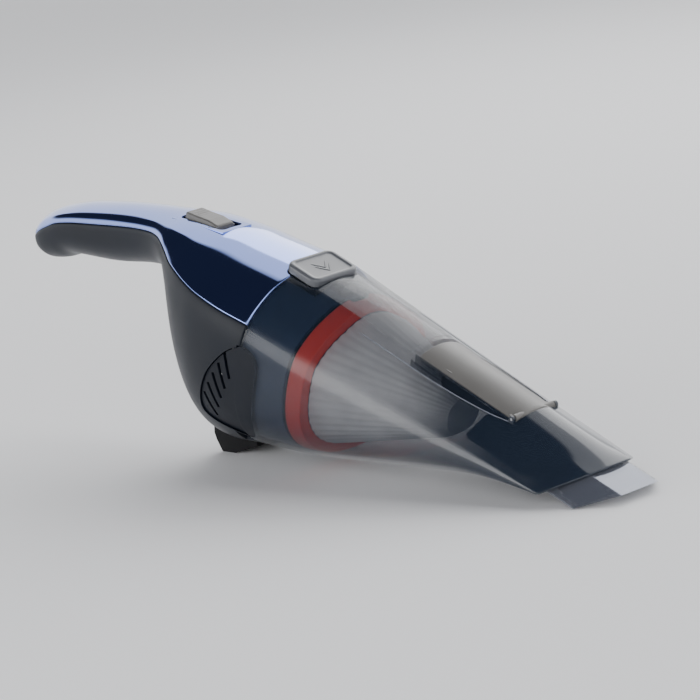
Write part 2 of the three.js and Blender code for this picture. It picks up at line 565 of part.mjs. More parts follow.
// ---------------------------------------------------------------- power switch
const slider = union(
  Manifold.hull([
    box(-14.5, 11.5, -SWITCH.half, SWITCH.half, -2.9, -0.4), box(-14.5, -8, -5.6, 5.6, -2.9, 3.4),
    box(-8, 4, -5.9, 5.9, -2.9, 2.2),
  ]),
  [-12, -9.5, -7].map((x) => box(x, x + 0.9, -4.2, 4.2, 2.6, 3.7)),
  box(-3.6, 4.6, -1.8, 1.8, -13.5, -2.5),
);
add("power_switch", pocketFrame(slider), warmGrey);

// ---------------------------------------------------------------- dust bowl
const bowlStations = [0.3, 20, 40, 65, 90, 115, 140, 160, 180, MOUTH_U];
const bowlWall = (u) => BOWL_WALL + (MOUTH_WALL - BOWL_WALL) * ease(150, MOUTH_U, u);
const bowlShell = loft(bowlStations.map((u) => bowlRing(u)));
const bowlCavity = loft([-2, 20, 40, 65, 90, 115, 140, 160, 180, MOUTH_U].map((u) => bowlRing(u, bowlWall(u)))
  .concat([bowlRing(MOUTH_U, MOUTH_WALL).map((v) => v.clone().add(new THREE.Vector3(5, 0, 0)))]));
const bayWalls = union(
  box(91, 129.4, -14.8, 14.8, 44.4, 54), box(129, 168, -14.8, 14.8, 48.4, 54),
  box(156.5, 168, -14.8, 14.8, 47.55, 54),
);
const panelOutline = (g) => {
  const points = [];
  for (let i = -6; i <= 6; i++) {
    const t = i / 6;
    points.push([PANEL.front + g + PANEL.bulge * (1 - t * t), (PANEL.half + g) * t]);
  }
  const rear = [[PANEL.rear - g, PANEL.half + g], [PANEL.rear - g, -PANEL.half - g]];
  return new CrossSection([[...rear, ...points]], "NonZero");
};
const bayHole = union(
  common(panelOutline(0.35).extrude(30).translate([0, 0, 49.6]), box(0, 300, -50, 50, 0, 100)),
  box(92.4, 128, -13.35, 13.35, 45.8, 70),
  common(panelOutline(0.35).extrude(2).translate([0, 0, 48.2]), box(159, 170, -20, 20, 40, 60)),
  common(
    rod([PIVOT.u, -9, PIVOT.w], [PIVOT.u, 9, PIVOT.w], PIVOT.lip + 0.35, 32),
    box(159, 166, -9, 9, 48.2, 51.2),
  ),
);
// Ears that carry the brush hinge's pin, one on each side of the bay.
const ears = both(union(
  box(PIVOT.u - PIVOT.ear, PIVOT.u + PIVOT.ear, 13.35, 14.75, 47.6, PIVOT.w),
  rod([PIVOT.u, 13.35, PIVOT.w], [PIVOT.u, 14.75, PIVOT.w], PIVOT.ear, 24),
));
const pivotHoles = [
  rod([PIVOT.u, -16, PIVOT.w], [PIVOT.u, 16, PIVOT.w], PIVOT.r + 0.05, 16),
  rod([FLAP.u, -13, FLAP.w], [FLAP.u, 13, FLAP.w], FLAP.pin + 0.05, 16),
];
// Ears under the bay floor that carry the inlet flap's stub pins.
const flapEars = both(box(FLAP.u - 1.2, FLAP.u + 1.2, 10.9, 12.1, FLAP.w - 0.9, 48.9));
const strip = common(bowlLayer(19.5, 90, -0.7, 1, 6), box(19.5, 89.5, -14, 14, 40, 70));
const catchRib = box(19.9, 23.8, -6, 6, 49.3, 53);
const fingerDish = both(
  Manifold.sphere(1, 28).scale([24, 4.2, 2.2]).rotate([-24, 0, 0]).translate([138, 16.2, 53.6]));
const bowl = minus(
  union(
    minus(bowlShell, bowlCavity), common(bayWalls, bowlBody(60, 190, 0.5, 8)),
    strip, catchRib, ears, flapEars,
    common(bowlLayer(-9, 2, 0.25, 1.9, 2), union(tab(0))),
  ),
  bayHole, pivotHoles, fingerDish, buttonHole, sidePair(notch(0.15)),
);
addFront("dust_bowl", bowl, smoked);

// Flip-up brush: panel, bristles and pivot pin.
const panelSkin = minus(bowlBody(80, 185, 0.15, 8), bowlBody(79, 186, 0.15 + PANEL.thick, 8));
const barrelEnd = PANEL.half - 0.2;
const barrel = rod([PIVOT.u, -barrelEnd, PIVOT.w], [PIVOT.u, barrelEnd, PIVOT.w], PIVOT.barrel, 20);
const brushPanel = minus(
  union(
    common(panelSkin, panelOutline(0).extrude(60).translate([0, 0, 20]), box(0, 300, -13, 13, 49.9, 70)),
    barrel, box(112, 116, -11.5, 11.5, 47.4, 53), box(158, PIVOT.u, -12.5, 12.5, 50.2, 52.4),
  ),
  rod([PIVOT.u, -20, PIVOT.w], [PIVOT.u, 20, PIVOT.w], PIVOT.r + 0.05, 16),
  minus(
    box(PIVOT.u, 170, -14, 14, 50, 60),
    rod([PIVOT.u, -14, PIVOT.w], [PIVOT.u, 14, PIVOT.w], PIVOT.lip, 48),
  ),
);
addFront("brush_panel", brushPanel, warmGrey);
const bristleRow = Array.from({ length: 11 }, (_, i) => box(93.4, 112, -0.75, 0.75, 46.6, 49.5)
  .translate([0, -10.5 + 2.1 * i, 0]));
addFront("brush_bristles", union(bristleRow, box(108, 111.7, -11.2, 11.2, 46.6, 49.5)), black);
addFront("brush_pin", rod([PIVOT.u, -14.6, PIVOT.w], [PIVOT.u, 14.6, PIVOT.w], PIVOT.r, 16), steel);

// ---------------------------------------------------------------- nozzle, duct and flap
const trapezoid = (low, high, bottom, top, r) =>
  rounded([[-low, bottom], [low, bottom], [high, top], [-high, top]], r);
const rake = (body, at, slope, base) =>
  body.warp((v) => { if (Math.abs(v[0] - at) < 1e-3) v[0] += slope * (v[2] - base); });
const { bottom: low, top: high } = SLEEVE;
const sleeveOut = trapezoid(SLEEVE.low, SLEEVE.high, low, high, 0.6);
const grow = (section, by) => section.offset(by, "Miter", 2);
const lip = rake(rake(
  forward(trapezoid(LIP.low, LIP.high, low, LIP.top, 0.6), LIP.rear, LIP.front),
  LIP.front, LIP.frontRake, low), LIP.rear, LIP.rearRake, low);
const lipBore = rake(forward(
  trapezoid(LIP.low - 1.9, LIP.high - 1, low + SLEEVE.wall, LIP.top - SLEEVE.wall, 0.5), 207, LIP.front + 1),
  LIP.front + 1, LIP.frontRake, low);
const nozzle = minus(
  union(forward(sleeveOut, SLEEVE.rear, SLEEVE.front), lip),
  forward(grow(sleeveOut, -SLEEVE.wall), SLEEVE.rear - 1, LIP.front + 22),
  rake(lipBore, 207, LIP.rearRake, low),
);
addFront("crevice_nozzle", nozzle, clearGrey);
const duct = minus(
  forward(grow(sleeveOut, 1.25), 146, 184), forward(grow(sleeveOut, 0.3), 140, 190),
);
addFront("inlet_duct", duct, smoked);
const flap = union(
  minus(
    forward(trapezoid(SLEEVE.low - 0.5, SLEEVE.high, low - 0.6, high - 0.4, 0.6), FLAP.u - 0.6, FLAP.u + 0.6),
    both(box(FLAP.u - 2, FLAP.u + 2, 10.5, 12.7, FLAP.w - 1.9, FLAP.w + 2)),
  ),
  rod([FLAP.u, -10.5, FLAP.w], [FLAP.u, 10.5, FLAP.w], FLAP.barrel, 12),
  rod([FLAP.u, -11.9, FLAP.w], [FLAP.u, 11.9, FLAP.w], FLAP.pin, 16),
);
addFront("inlet_flap", flap, rubberBlack);

// ---------------------------------------------------------------- filter
const catchPath = box(30, 50, -6.6, 6.6, 48.9, 60);
addFront("filter_ring", minus(bowlLayer(34.4, 45, 2.5, 7.6, 2), catchPath), red);
addFront("filter_seal", minus(bowlLayer(32.4, 34.1, 3.4, 7.6, 1), catchPath), rubberBlack);
const coneBase = sectionPoints(bowlSection(45, 7.2));
const coneHub = 9.5;
// Cone outline at u: the ring's outline shrunk towards a line that climbs forward.
function coneRing(u, scale, pleat = 0) {
  const share = (u - 45.4) / 72;
  const hub = coneHub + 17 * share;
  return coneBase.map(([y, w], i) => {
    const k = scale * (1 - 0.66 * share) * (1 + (i % 2 ? pleat : -pleat));
    return new THREE.Vector3(u, -y * k, hub + (w - coneHub) * k);
  });
}
const fabric = minus(
  loft([45.4, 60, 80, 100, 112, 117].map((u) => coneRing(u, u > 115 ? 0.86 : 0.99, 0.018))),
  loft([44, 60, 80, 100, 112, 115].map((u) => coneRing(u, u > 113 ? 0.8 : 0.94, 0.018))),
);
addFront("filter_fleece", fabric, fleece);
const ribEnds = [1, 5, 9, 14, 19, 23, 27];
const cageRibs = ribEnds.map((i) => {
  const a = coneRing(46.6, 0.87)[i], b = coneRing(111, 0.74)[i];
  return Manifold.hull([a, b].map((p) => Manifold.sphere(1.1, 8).translate([p.x, p.y, p.z])));
});
const cage = union(
  minus(loft([coneRing(45.8, 0.91), coneRing(47.8, 0.91)]), loft([coneRing(45, 0.84), coneRing(49, 0.84)])),
  loft([coneRing(110, 0.76), coneRing(111.6, 0.76)]), cageRibs,
);
addFront("filter_frame", cage, midGrey);

export default vacuum;
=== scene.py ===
"""Cordless handheld vacuum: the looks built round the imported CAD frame.

Shapes are worked out in millimetres, in the CAD's own frame, and turned to metres where a mesh is made.
The bowl frame (u forward, y left, w up) has its origin at the centre of the joint between housing and
bowl and is pitched nose down, as the CAD has it.
"""

import math

import bmesh
import bpy
import numpy as np
from mathutils import Matrix, Vector


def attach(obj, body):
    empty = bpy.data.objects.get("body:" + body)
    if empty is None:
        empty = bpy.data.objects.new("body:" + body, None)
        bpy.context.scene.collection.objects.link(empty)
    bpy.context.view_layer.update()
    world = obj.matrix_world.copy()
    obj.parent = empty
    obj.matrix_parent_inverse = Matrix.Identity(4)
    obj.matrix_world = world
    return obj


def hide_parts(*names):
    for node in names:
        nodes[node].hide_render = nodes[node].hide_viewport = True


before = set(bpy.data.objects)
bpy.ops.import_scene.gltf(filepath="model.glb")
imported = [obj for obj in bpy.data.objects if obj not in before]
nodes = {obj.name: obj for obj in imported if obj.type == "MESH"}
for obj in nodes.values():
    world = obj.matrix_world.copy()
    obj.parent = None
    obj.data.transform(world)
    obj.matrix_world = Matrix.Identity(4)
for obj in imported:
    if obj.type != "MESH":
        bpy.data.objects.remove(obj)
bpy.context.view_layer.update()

# ---------------------------------------------------------------- driving dimensions, mm
MM = 0.001
PITCH = math.radians(23.15)
JUNCTION = (58.5, 52.5)
HOUSING_WALL, BOWL_WALL, MOUTH_WALL = 2.2, 2.0, 1.5
MOUTH_U, MOUTH_RAKE = 199.0, 1.11
TOP_TRIM = 0.06  # how far the cover's and the button's tops stay inside the CAD box
HINGE_U, HINGE_W = 162.0, 51.4  # brush hinge
LIP_R, BARREL_R, EAR_R = 2.85, 1.9, 1.7
FLAP_U, FLAP_W = 144.4, 45.6  # inlet flap hinge
PANEL_REAR, PANEL_FRONT, PANEL_BULGE, PANEL_HALF = 95.0, 163.4, 1.6, 13.0
PANEL_GAP = 0.35
BAY_HALF = 14.8
BUTTON_HALF, BUTTON_CORNER = (12.0, 15.0), 5.2
BUTTON_MIDDLE = 6.0
LEAF_REAR, LEAF_FRONT, LEAF_INSIDE, LEAF_DEPTH = 113.0, 162.0, 13.75, 1.0
COS, SIN = math.cos(PITCH), math.sin(PITCH)
AXIS = Vector((COS, 0, -SIN))


def curve(xs, ys):
    """Cubic curve through the knots that never overshoots them, for numpy arrays."""
    xs, ys = np.array(xs, float), np.array(ys, float)
    gap = np.diff(xs)
    rise = np.diff(ys) / gap
    slope = np.concatenate([rise[:1], np.zeros(len(xs) - 2), rise[-1:]])
    for i in range(1, len(xs) - 1):
        if rise[i - 1] * rise[i] > 0:
            slope[i] = 2 * rise[i - 1] * rise[i] / (rise[i - 1] + rise[i])

    def at(x):
        x = np.asarray(x, float)
        i = np.clip(np.searchsorted(xs, x, side="left") - 1, 0, len(xs) - 2)
        h = gap[i]
        t = np.clip((x - xs[i]) / h, 0, 1)
        a = t * t * (3 - 2 * t)
        return (
            ys[i] * (1 - a)
            + ys[i + 1] * a
            + slope[i] * t * (1 - t) ** 2 * h
            + slope[i + 1] * t * t * (t - 1) * h
        )

    return at


def smoothstep(a, b, x):
    t = np.clip((x - a) / (b - a), 0, 1)
    return t * t * (3 - 2 * t)


# ---------------------------------------------------------------- sections
# Points per stretch of a half section: top, flank, shoulder, belly.
FINE = (10, 18, 14, 26)


def section(p, counts=FINE):
    """Half section from top centre to bottom centre as arrays y, w."""
    top, flank, shoulder, belly = counts
    ys, ws = [], []
    for i in range(top):
        t = i / top
        ys.append(p["yk"] * t)
        ws.append(p["wt"] - (p["wt"] - p["wk"]) * t * t)
    cy = (p["yk"] + p["yl"]) / 2 + p["bulge"] * 0.7
    cw = (p["wk"] + p["wl"]) / 2 + p["bulge"] * 0.7
    for i in range(flank):
        t = i / flank
        ys.append((1 - t) ** 2 * p["yk"] + 2 * t * (1 - t) * cy + t * t * p["yl"])
        ws.append((1 - t) ** 2 * p["wk"] + 2 * t * (1 - t) * cw + t * t * p["wl"])
    turn = np.maximum(p["wl"] - 1.9 * (p["ym"] - p["yl"]), p["wm"] + 0.2 * (p["wl"] - p["wm"]))
    for i in range(shoulder):
        t = i / shoulder
        ys.append((1 - t) ** 2 * p["yl"] + (1 - (1 - t) ** 2) * p["ym"])
        ws.append((1 - t) ** 2 * p["wl"] + 2 * t * (1 - t) * turn + t * t * p["wm"])
    for i in range(belly + 1):
        a = i / belly * math.pi / 2
        power = 2 / 2.3
        ys.append(p["ym"] * abs(math.cos(a)) ** power if i < belly else p["ym"] * 0)
        ws.append(p["wm"] - (p["wm"] - p["wb"]) * math.sin(a) ** power)
    return np.stack(ys, -1), np.stack(ws, -1)


def shrink(p, t):
    """The same section with its outline moved inwards by t."""
    q = dict(p)
    q["wb"] = p["wb"] + t
    q["wm"] = np.maximum(p["wm"], q["wb"] + 0.8)
    q["wl"] = np.maximum(p["wl"] - 0.72 * t, q["wm"] + 0.4)
    q["wt"] = p["wt"] - t
    q["wk"] = np.maximum(p["wk"] - 0.95 * t, q["wl"] + 0.4)
    q["yk"], q["yl"], q["ym"] = p["yk"] - 0.45 * t, p["yl"] - 0.72 * t, p["ym"] - t
    return q


BOWL_U = [0, 40, 80, 120, 160, 199]
BOWL = {
    "wt": curve(BOWL_U, [53.2, 55.0, 55.4, 55.2, 53.8, 50.0]),
    "yk": curve(BOWL_U, [24.3, 21, 18.5, 16, 14.5, 13.5]),
    "wk": curve(BOWL_U, [47.8, 48.3, 48.8, 49.2, 49.4, 49.2]),
    "yl": curve(BOWL_U, [41.7, 39.5, 36.5, 34, 32, 31]),
    "wl": curve(BOWL_U, [29.6, 31.6, 33.5, 35, 36, 36.5]),
    "ym": curve(BOWL_U, [45.5, 44, 40.5, 37, 33.3, 31.2]),
    "wm": curve(BOWL_U, [3, 9, 17, 25, 31.5, 35.8]),
    "wb": curve(BOWL_U, [-50, -35.5, -18, 0.5, 20, 34.8]),
}


def bowl_point(u, y, w):
    """Bowl frame to part frame, mm."""
    return np.stack([JUNCTION[0] + u * COS + w * SIN, y, JUNCTION[1] - u * SIN + w * COS], -1)


def bowl_section(u, inset=0.0):
    p = {key: f(u) for key, f in BOWL.items()}
    p["bulge"] = 3.2 - 1.3 * smoothstep(0, 200, u)
    return shrink(p, inset)


def bowl_half(u, inset=0.0, counts=FINE):
    """Half rings at each u, top centre to bottom centre, on the near (-Y) side, in the bowl frame."""
    u = np.asarray(u, float)
    y, w = section(bowl_section(u, inset), counts)
    rake = MOUTH_RAKE * smoothstep(110, MOUTH_U, u)
    uu = u[:, None] + rake[:, None] * (w - BOWL["wb"](u)[:, None])
    return uu, -y, w


def at_joint(w):
    return (w * SIN, JUNCTION[1] + w * COS)


HOUSING_TOP = [
    at_joint(53.2), (0, 107.5), (-20, 113), (-35, 117), (-47, 119.5), (-56, 121.3), (-64, 122.7), (-72, 124),
    (-81, 125.2), (-92, 126.5), (-110, 127.8), (-135, 128.5), (-160, 128.2), (-180, 126.5), (-191, 124.7),
    (-200, 121.8), (-206, 118), (-209, 112),
]
HOUSING_BOTTOM = [
    at_joint(-50), (-38, 6.8), (-53, 9.8), (-63, 17), (-68, 27), (-71, 42), (-72, 60), (-73.5, 76),
    (-78, 89), (-90, 96.5), (-109, 97.6), (-134, 97), (-158, 98.6), (-176, 100), (-187, 97.2),
    (-197, 96.6), (-204, 98.8), (-208, 103.5),
]
HALF_WIDTH = [45.5, 46, 45, 42, 38.5, 34.5, 30.5, 26.5, 22.5, 19, 17.3, 17, 16.8, 16.5, 16, 15, 13, 9]
CREASE_Y = [
    0.534, 0.52, 0.5, 0.52, 0.55, 0.58, 0.62, 0.66, 0.7, 0.74, 0.76, 0.77, 0.77, 0.77, 0.76, 0.76, 0.76, 0.76,
]
CREASE_DROP = [
    0.052, 0.048, 0.045, 0.042, 0.04, 0.04, 0.045, 0.055, 0.075,
    0.1, 0.11, 0.11, 0.11, 0.12, 0.13, 0.15, 0.2, 0.2,
]
WIDEST_DROP = [
    0.486, 0.46, 0.44, 0.42, 0.4, 0.4, 0.4, 0.42, 0.46, 0.5, 0.52, 0.52, 0.52, 0.52, 0.5, 0.5, 0.5, 0.5,
]
SHOULDER_Y = [
    0.916, 0.92, 0.92, 0.92, 0.92, 0.93, 0.93, 0.94, 0.94,
    0.95, 0.95, 0.95, 0.95, 0.95, 0.95, 0.95, 0.95, 0.95,
]
SHOULDER_DROP = [
    0.229, 0.21, 0.19, 0.18, 0.17, 0.18, 0.19, 0.2, 0.23, 0.27, 0.28, 0.28, 0.28, 0.28, 0.3, 0.32, 0.35, 0.35,
]
LAST = len(HOUSING_TOP) - 1


def station_curve(values):
    """A station table as a smooth function of the station number, rounded off between its knots."""
    raw = curve(range(len(values)), values)
    fine = np.linspace(0, LAST, LAST * 40 + 1)
    v = raw(fine)
    for _ in range(160):
        v[1:-1] = (v[:-2] + 2 * v[1:-1] + v[2:]) / 4
    return lambda s: np.interp(s, fine, v)


HOUSING = {
    "tx": station_curve([p[0] for p in HOUSING_TOP]), "tz": station_curve([p[1] for p in HOUSING_TOP]),
    "bx": station_curve([p[0] for p in HOUSING_BOTTOM]), "bz": station_curve([p[1] for p in HOUSING_BOTTOM]),
    "half": station_curve(HALF_WIDTH), "yk": station_curve(CREASE_Y), "wk": station_curve(CREASE_DROP),
    "wm": station_curve(WIDEST_DROP), "yl": station_curve(SHOULDER_Y), "wl": station_curve(SHOULDER_DROP),
}


def housing_half(s, inset=0.0, counts=FINE):
    """Half rings of the housing on the near side, in the part frame, as an array (station, point, 3)."""
    s = np.asarray(s, float)
    h = {key: f(s) for key, f in HOUSING.items()}
    bottom = np.stack([h["bx"] + JUNCTION[0], h["bz"]], -1)
    top = np.stack([h["tx"] + JUNCTION[0], h["tz"]], -1)
    height = np.linalg.norm(top - bottom, axis=-1)
    up = (top - bottom) / height[:, None]
    p = {
        "wt": height - TOP_TRIM, "wk": height * (1 - h["wk"]),
        "wl": height * (1 - h["wl"]), "wm": height * (1 - h["wm"]),
        "wb": 0 * height, "ym": h["half"], "yk": h["half"] * h["yk"], "yl": h["half"] * h["yl"],
        "bulge": 3.2 * h["half"] / 45.5,
    }
    y, q = section(shrink(p, inset), counts)
    x = bottom[:, None, 0] + up[:, None, 0] * q
    z = bottom[:, None, 1] + up[:, None, 1] * q
    return np.stack([x, -y, z], -1)


# ---------------------------------------------------------------- meshes
def make_object(name, vertices, faces, smooth=True):
    """A mesh object from millimetre vertices; normals are made to point out."""
    mesh = bpy.data.meshes.new(name)
    points = [tuple(float(c) * MM for c in v) for v in vertices]
    mesh.from_pydata(points, [], [tuple(map(int, f)) for f in faces])
    mesh.validate()
    bm = bmesh.new()
    bm.from_mesh(mesh)
    bmesh.ops.remove_doubles(bm, verts=bm.verts, dist=1e-7)
    bmesh.ops.recalc_face_normals(bm, faces=bm.faces)
    bm.to_mesh(mesh)
    bm.free()
    obj = bpy.data.objects.new(name, mesh)
    bpy.context.scene.collection.objects.link(obj)
    if smooth:
        shade(obj)
    return obj


def shade(obj, angle=34):
    mesh = obj.data
    mesh.polygons.foreach_set("use_smooth", [True] * len(mesh.polygons))
    mesh.set_sharp_from_angle(angle=math.radians(angle))
    mesh.update()


def grid_faces(rows, cols, start=0, closed=False):
    faces = []
    for i in range(rows - 1):
        for j in range(cols if closed else cols - 1):
            a, b = start + i * cols + j, start + i * cols + (j + 1) % cols
            faces.append((a, b, b + cols, a + cols))
    return faces


def grid_normals(g, closed=False):
    """Unit normals of a grid of points, by central differences."""
    du = np.gradient(g, axis=0)
    if closed:
        dv = np.roll(g, -1, 1) - np.roll(g, 1, 1)
    else:
        dv = np.gradient(g, axis=1)
    n = np.cross(du, dv)
    return n / np.maximum(np.linalg.norm(n, axis=-1, keepdims=True), 1e-9)


def round_edges(g, normals, r, sides=(True, True, True, True)):
    """Drops a grid's border along -normal as a quarter round of radius r.

    sides says which borders: first row, last row, first column, last column.
    """
    def distances(axis):
        step = np.linalg.norm(np.diff(g, axis=axis), axis=-1)
        zero = np.zeros_like(np.take(step, [0], axis))
        ahead = np.concatenate([zero, np.cumsum(step, axis)], axis)
        return ahead, ahead.take([-1], axis) - ahead

    reach = np.full(g.shape[:2], 1e9)
    for axis, (first, last) in ((0, sides[:2]), (1, sides[2:])):
        near, far = distances(axis)
        if first:
            reach = np.minimum(reach, near)
        if last:
            reach = np.minimum(reach, far)
    gap = np.clip(r - reach, 0, r)
    return g - normals * (r - np.sqrt(np.maximum(r * r - gap * gap, 0)))[..., None]


def shell_from(g, inner):
    """Closed solid between two open grids of the same shape, as (vertices, faces)."""
    rows, cols = g.shape[:2]
    count = rows * cols
    faces = grid_faces(rows, cols)
    faces += [tuple(reversed(f)) for f in grid_faces(rows, cols, count)]
    border = [(0, j) for j in range(cols)] + [(i, cols - 1) for i in range(1, rows)]
    border += [(rows - 1, j) for j in range(cols - 2, -1, -1)] + [(i, 0) for i in range(rows - 2, 0, -1)]
    ids = [i * cols + j for i, j in border]
    for a, b in zip(ids, ids[1:] + ids[:1]):
        faces.append((b, a, a + count, b + count))
    return np.concatenate([g.reshape(-1, 3), inner.reshape(-1, 3)]), faces


def tube_from(outer, inner):
    """Closed solid between two closed-ring grids (rows, cols, 3)."""
    rows, cols = outer.shape[:2]
    count = rows * cols
    faces = grid_faces(rows, cols, 0, True)
    faces += [tuple(reversed(f)) for f in grid_faces(rows, cols, count, True)]
    for row in (0, rows - 1):
        for j in range(cols):
            a, b = row * cols + j, row * cols + (j + 1) % cols
            faces.append((a, b, b + count, a + count))
    return np.concatenate([outer.reshape(-1, 3), inner.reshape(-1, 3)]), faces


def full_rings(half):
    """Half rings (near side) mirrored into closed rings."""
    other = half[:, 1:-1][:, ::-1] * np.array([1, -1, 1])
    return np.concatenate([half, other], 1)


def cutter(name, vertices, faces):
    obj = make_object(name, vertices, faces, smooth=False)
    obj.hide_render = True
    return obj


def prism(name, outline, lift0, lift1, to_part):
    """Closed prism: outline of 2D points, two lifts, and a function (a, b, lift) -> part frame point."""
    n = len(outline)
    vertices = [to_part(a, b, lift) for lift in (lift0, lift1) for a, b in outline]
    faces = [tuple(range(n)), tuple(range(2 * n - 1, n - 1, -1))]
    faces += [(i, (i + 1) % n, (i + 1) % n + n, i + n) for i in range(n)]
    return cutter(name, vertices, faces)


def boolean(obj, other, operation="DIFFERENCE"):
    """Cuts, joins or intersects obj with other, and removes other."""
    mod = obj.modifiers.new("cut", "BOOLEAN")
    mod.operation, mod.object, mod.solver = operation, other, "MANIFOLD"
    graph = bpy.context.evaluated_depsgraph_get()
    made = bpy.data.meshes.new_from_object(obj.evaluated_get(graph))
    obj.modifiers.clear()
    obj.data = made
    bpy.data.objects.remove(other)


def rounded_rect(cx, cy, hx, hy, r, n=8):
    points = []
    for k, (sx, sy) in enumerate(((1, 1), (-1, 1), (-1, -1), (1, -1))):
        for i in range(n + 1):
            a = math.pi / 2 * (k + i / n)
            points.append((cx + sx * (hx - r) + r * math.cos(a), cy + sy * (hy - r) + r * math.sin(a)))
    return points


FLANK = FINE[0] + FINE[1]
EDGE_STEPS = (0.08, 0.25, 0.5, 0.75, 1.0)


def edge_lines(g, r, sides):
    """Extra rows and columns near a grid's borders, for a rounded edge of radius r to sit on."""
    for axis, (first, last) in ((0, sides[:2]), (1, sides[2:])):
        g = np.moveaxis(g, axis, 0)

        def lines(border, inside):
            step = inside - border
            length = np.linalg.norm(step, axis=-1, keepdims=True)
            share = np.minimum(r / np.maximum(length, 1e-6), 0.95)
            return [(border + step * share * k)[None] for k in EDGE_STEPS]

        head = lines(g[0], g[1]) if first else []
        tail = lines(g[-1], g[-2])[::-1] if last else []
        g = np.moveaxis(np.concatenate([g[:1], *head, g[1:-1], *tail, g[-1:]]), 0, axis)
    return g


def outward(g, closed=False, centre=None):
    """Unit normals of a grid that point away from centre, or from its own middle."""
    n = grid_normals(g, closed)
    middle = g.reshape(-1, 3).mean(0) if centre is None else np.array(centre)
    return n if np.sum(n * (g - middle)) >= 0 else -n


def rounded_shell(name, outer, inner, r, sides=(True, True, True, True), centre=None):
    """Closed shell between two open grids, with rounded edges on its outer face."""
    outer, inner = edge_lines(outer, r, sides), edge_lines(inner, r, sides)
    n = outward(outer, centre=centre)
    return make_object(name, *shell_from(round_edges(outer, n, r, sides), inner))


def box_mesh(name, x0, x1, y0, y1, z0, z1, to_part=lambda a, b, c: (a, b, c), soft=0.0):
    corners = [(x, y, z) for x in (x0, x1) for y in (y0, y1) for z in (z0, z1)]
    faces = [(0, 1, 3, 2), (4, 6, 7, 5), (0, 4, 5, 1), (2, 3, 7, 6), (0, 2, 6, 4), (1, 5, 7, 3)]
    obj = make_object(name, [to_part(*c) for c in corners], faces, smooth=False)
    if soft:
        soften(obj, soft)
    return obj


def soften(obj, width, segments=3, angle=32):
    """Rounds the sharp edges of a mesh by width millimetres."""
    mod = obj.modifiers.new("soft_edges", "BEVEL")
    mod.width, mod.segments = width * MM, segments
    mod.limit_method, mod.angle_limit = "ANGLE", math.radians(angle)
    mod.use_clamp_overlap = True
    mod.harden_normals = False
    shade(obj, 40)


def rod_mesh(name, a, b, r, sides=24, smooth=True):
    a, b = Vector(a), Vector(b)
    turn = (b - a).to_track_quat("Z", "Y").to_matrix()
    vertices = []
    for end in (a, b):
        for i in range(sides):
            t = 2 * math.pi * i / sides
            vertices.append(end + turn @ Vector((r * math.cos(t), r * math.sin(t), 0)))
    faces = [(i, (i + 1) % sides, (i + 1) % sides + sides, i + sides) for i in range(sides)]
    faces += [tuple(range(sides)), tuple(range(2 * sides - 1, sides - 1, -1))]
    return make_object(name, vertices, faces, smooth)


def sweep(name, path, r, sides=8, flat=1.0):
    """A round (or flattened) strand along a row of points in millimetres."""
    path = [Vector(map(float, p)) for p in path]
    vertices = []
    for i, p in enumerate(path):
        along = (path[min(i + 1, len(path) - 1)] - path[max(i - 1, 0)]).normalized()
        across = along.cross(Vector((0, 0, 1))).normalized()
        lift = across.cross(along)
        taper = min(1.0, 0.25 + min(i, len(path) - 1 - i) * 0.35)
        for k in range(sides):
            t = 2 * math.pi * k / sides
            vertices.append(p + (across * math.cos(t) + lift * math.sin(t) * flat) * r * taper)
    n = len(path)
    faces = grid_faces(n, sides, 0, True)
    faces += [tuple(range(sides)), tuple(range(n * sides - 1, (n - 1) * sides - 1, -1))]
    return make_object(name, vertices, faces)


def join(objects, name):
    """One object out of several meshes."""
    bm = bmesh.new()
    graph = bpy.context.evaluated_depsgraph_get()
    for obj in objects:
        bm.from_mesh(bpy.data.meshes.new_from_object(obj.evaluated_get(graph)))
    mesh = bpy.data.meshes.new(name)
    bm.to_mesh(mesh)
    bm.free()
    for obj in objects:
        bpy.data.objects.remove(obj)
    made = bpy.data.objects.new(name, mesh)
    bpy.context.scene.collection.objects.link(made)
    shade(made)
    return made


def to_bowl_frame(u, y, w):
    """One point of the bowl frame as a point of the part frame."""
    return tuple(bowl_point(np.float64(u), np.float64(y), np.float64(w)))


def hinge_rod(name, y0, y1, r, sides, u=HINGE_U, w=HINGE_W, smooth=False):
    """Rod across the bowl on the axis of the brush hinge, or on another one."""
    return rod_mesh(name, to_bowl_frame(u, y0, w), to_bowl_frame(u, y1, w), r, sides, smooth)


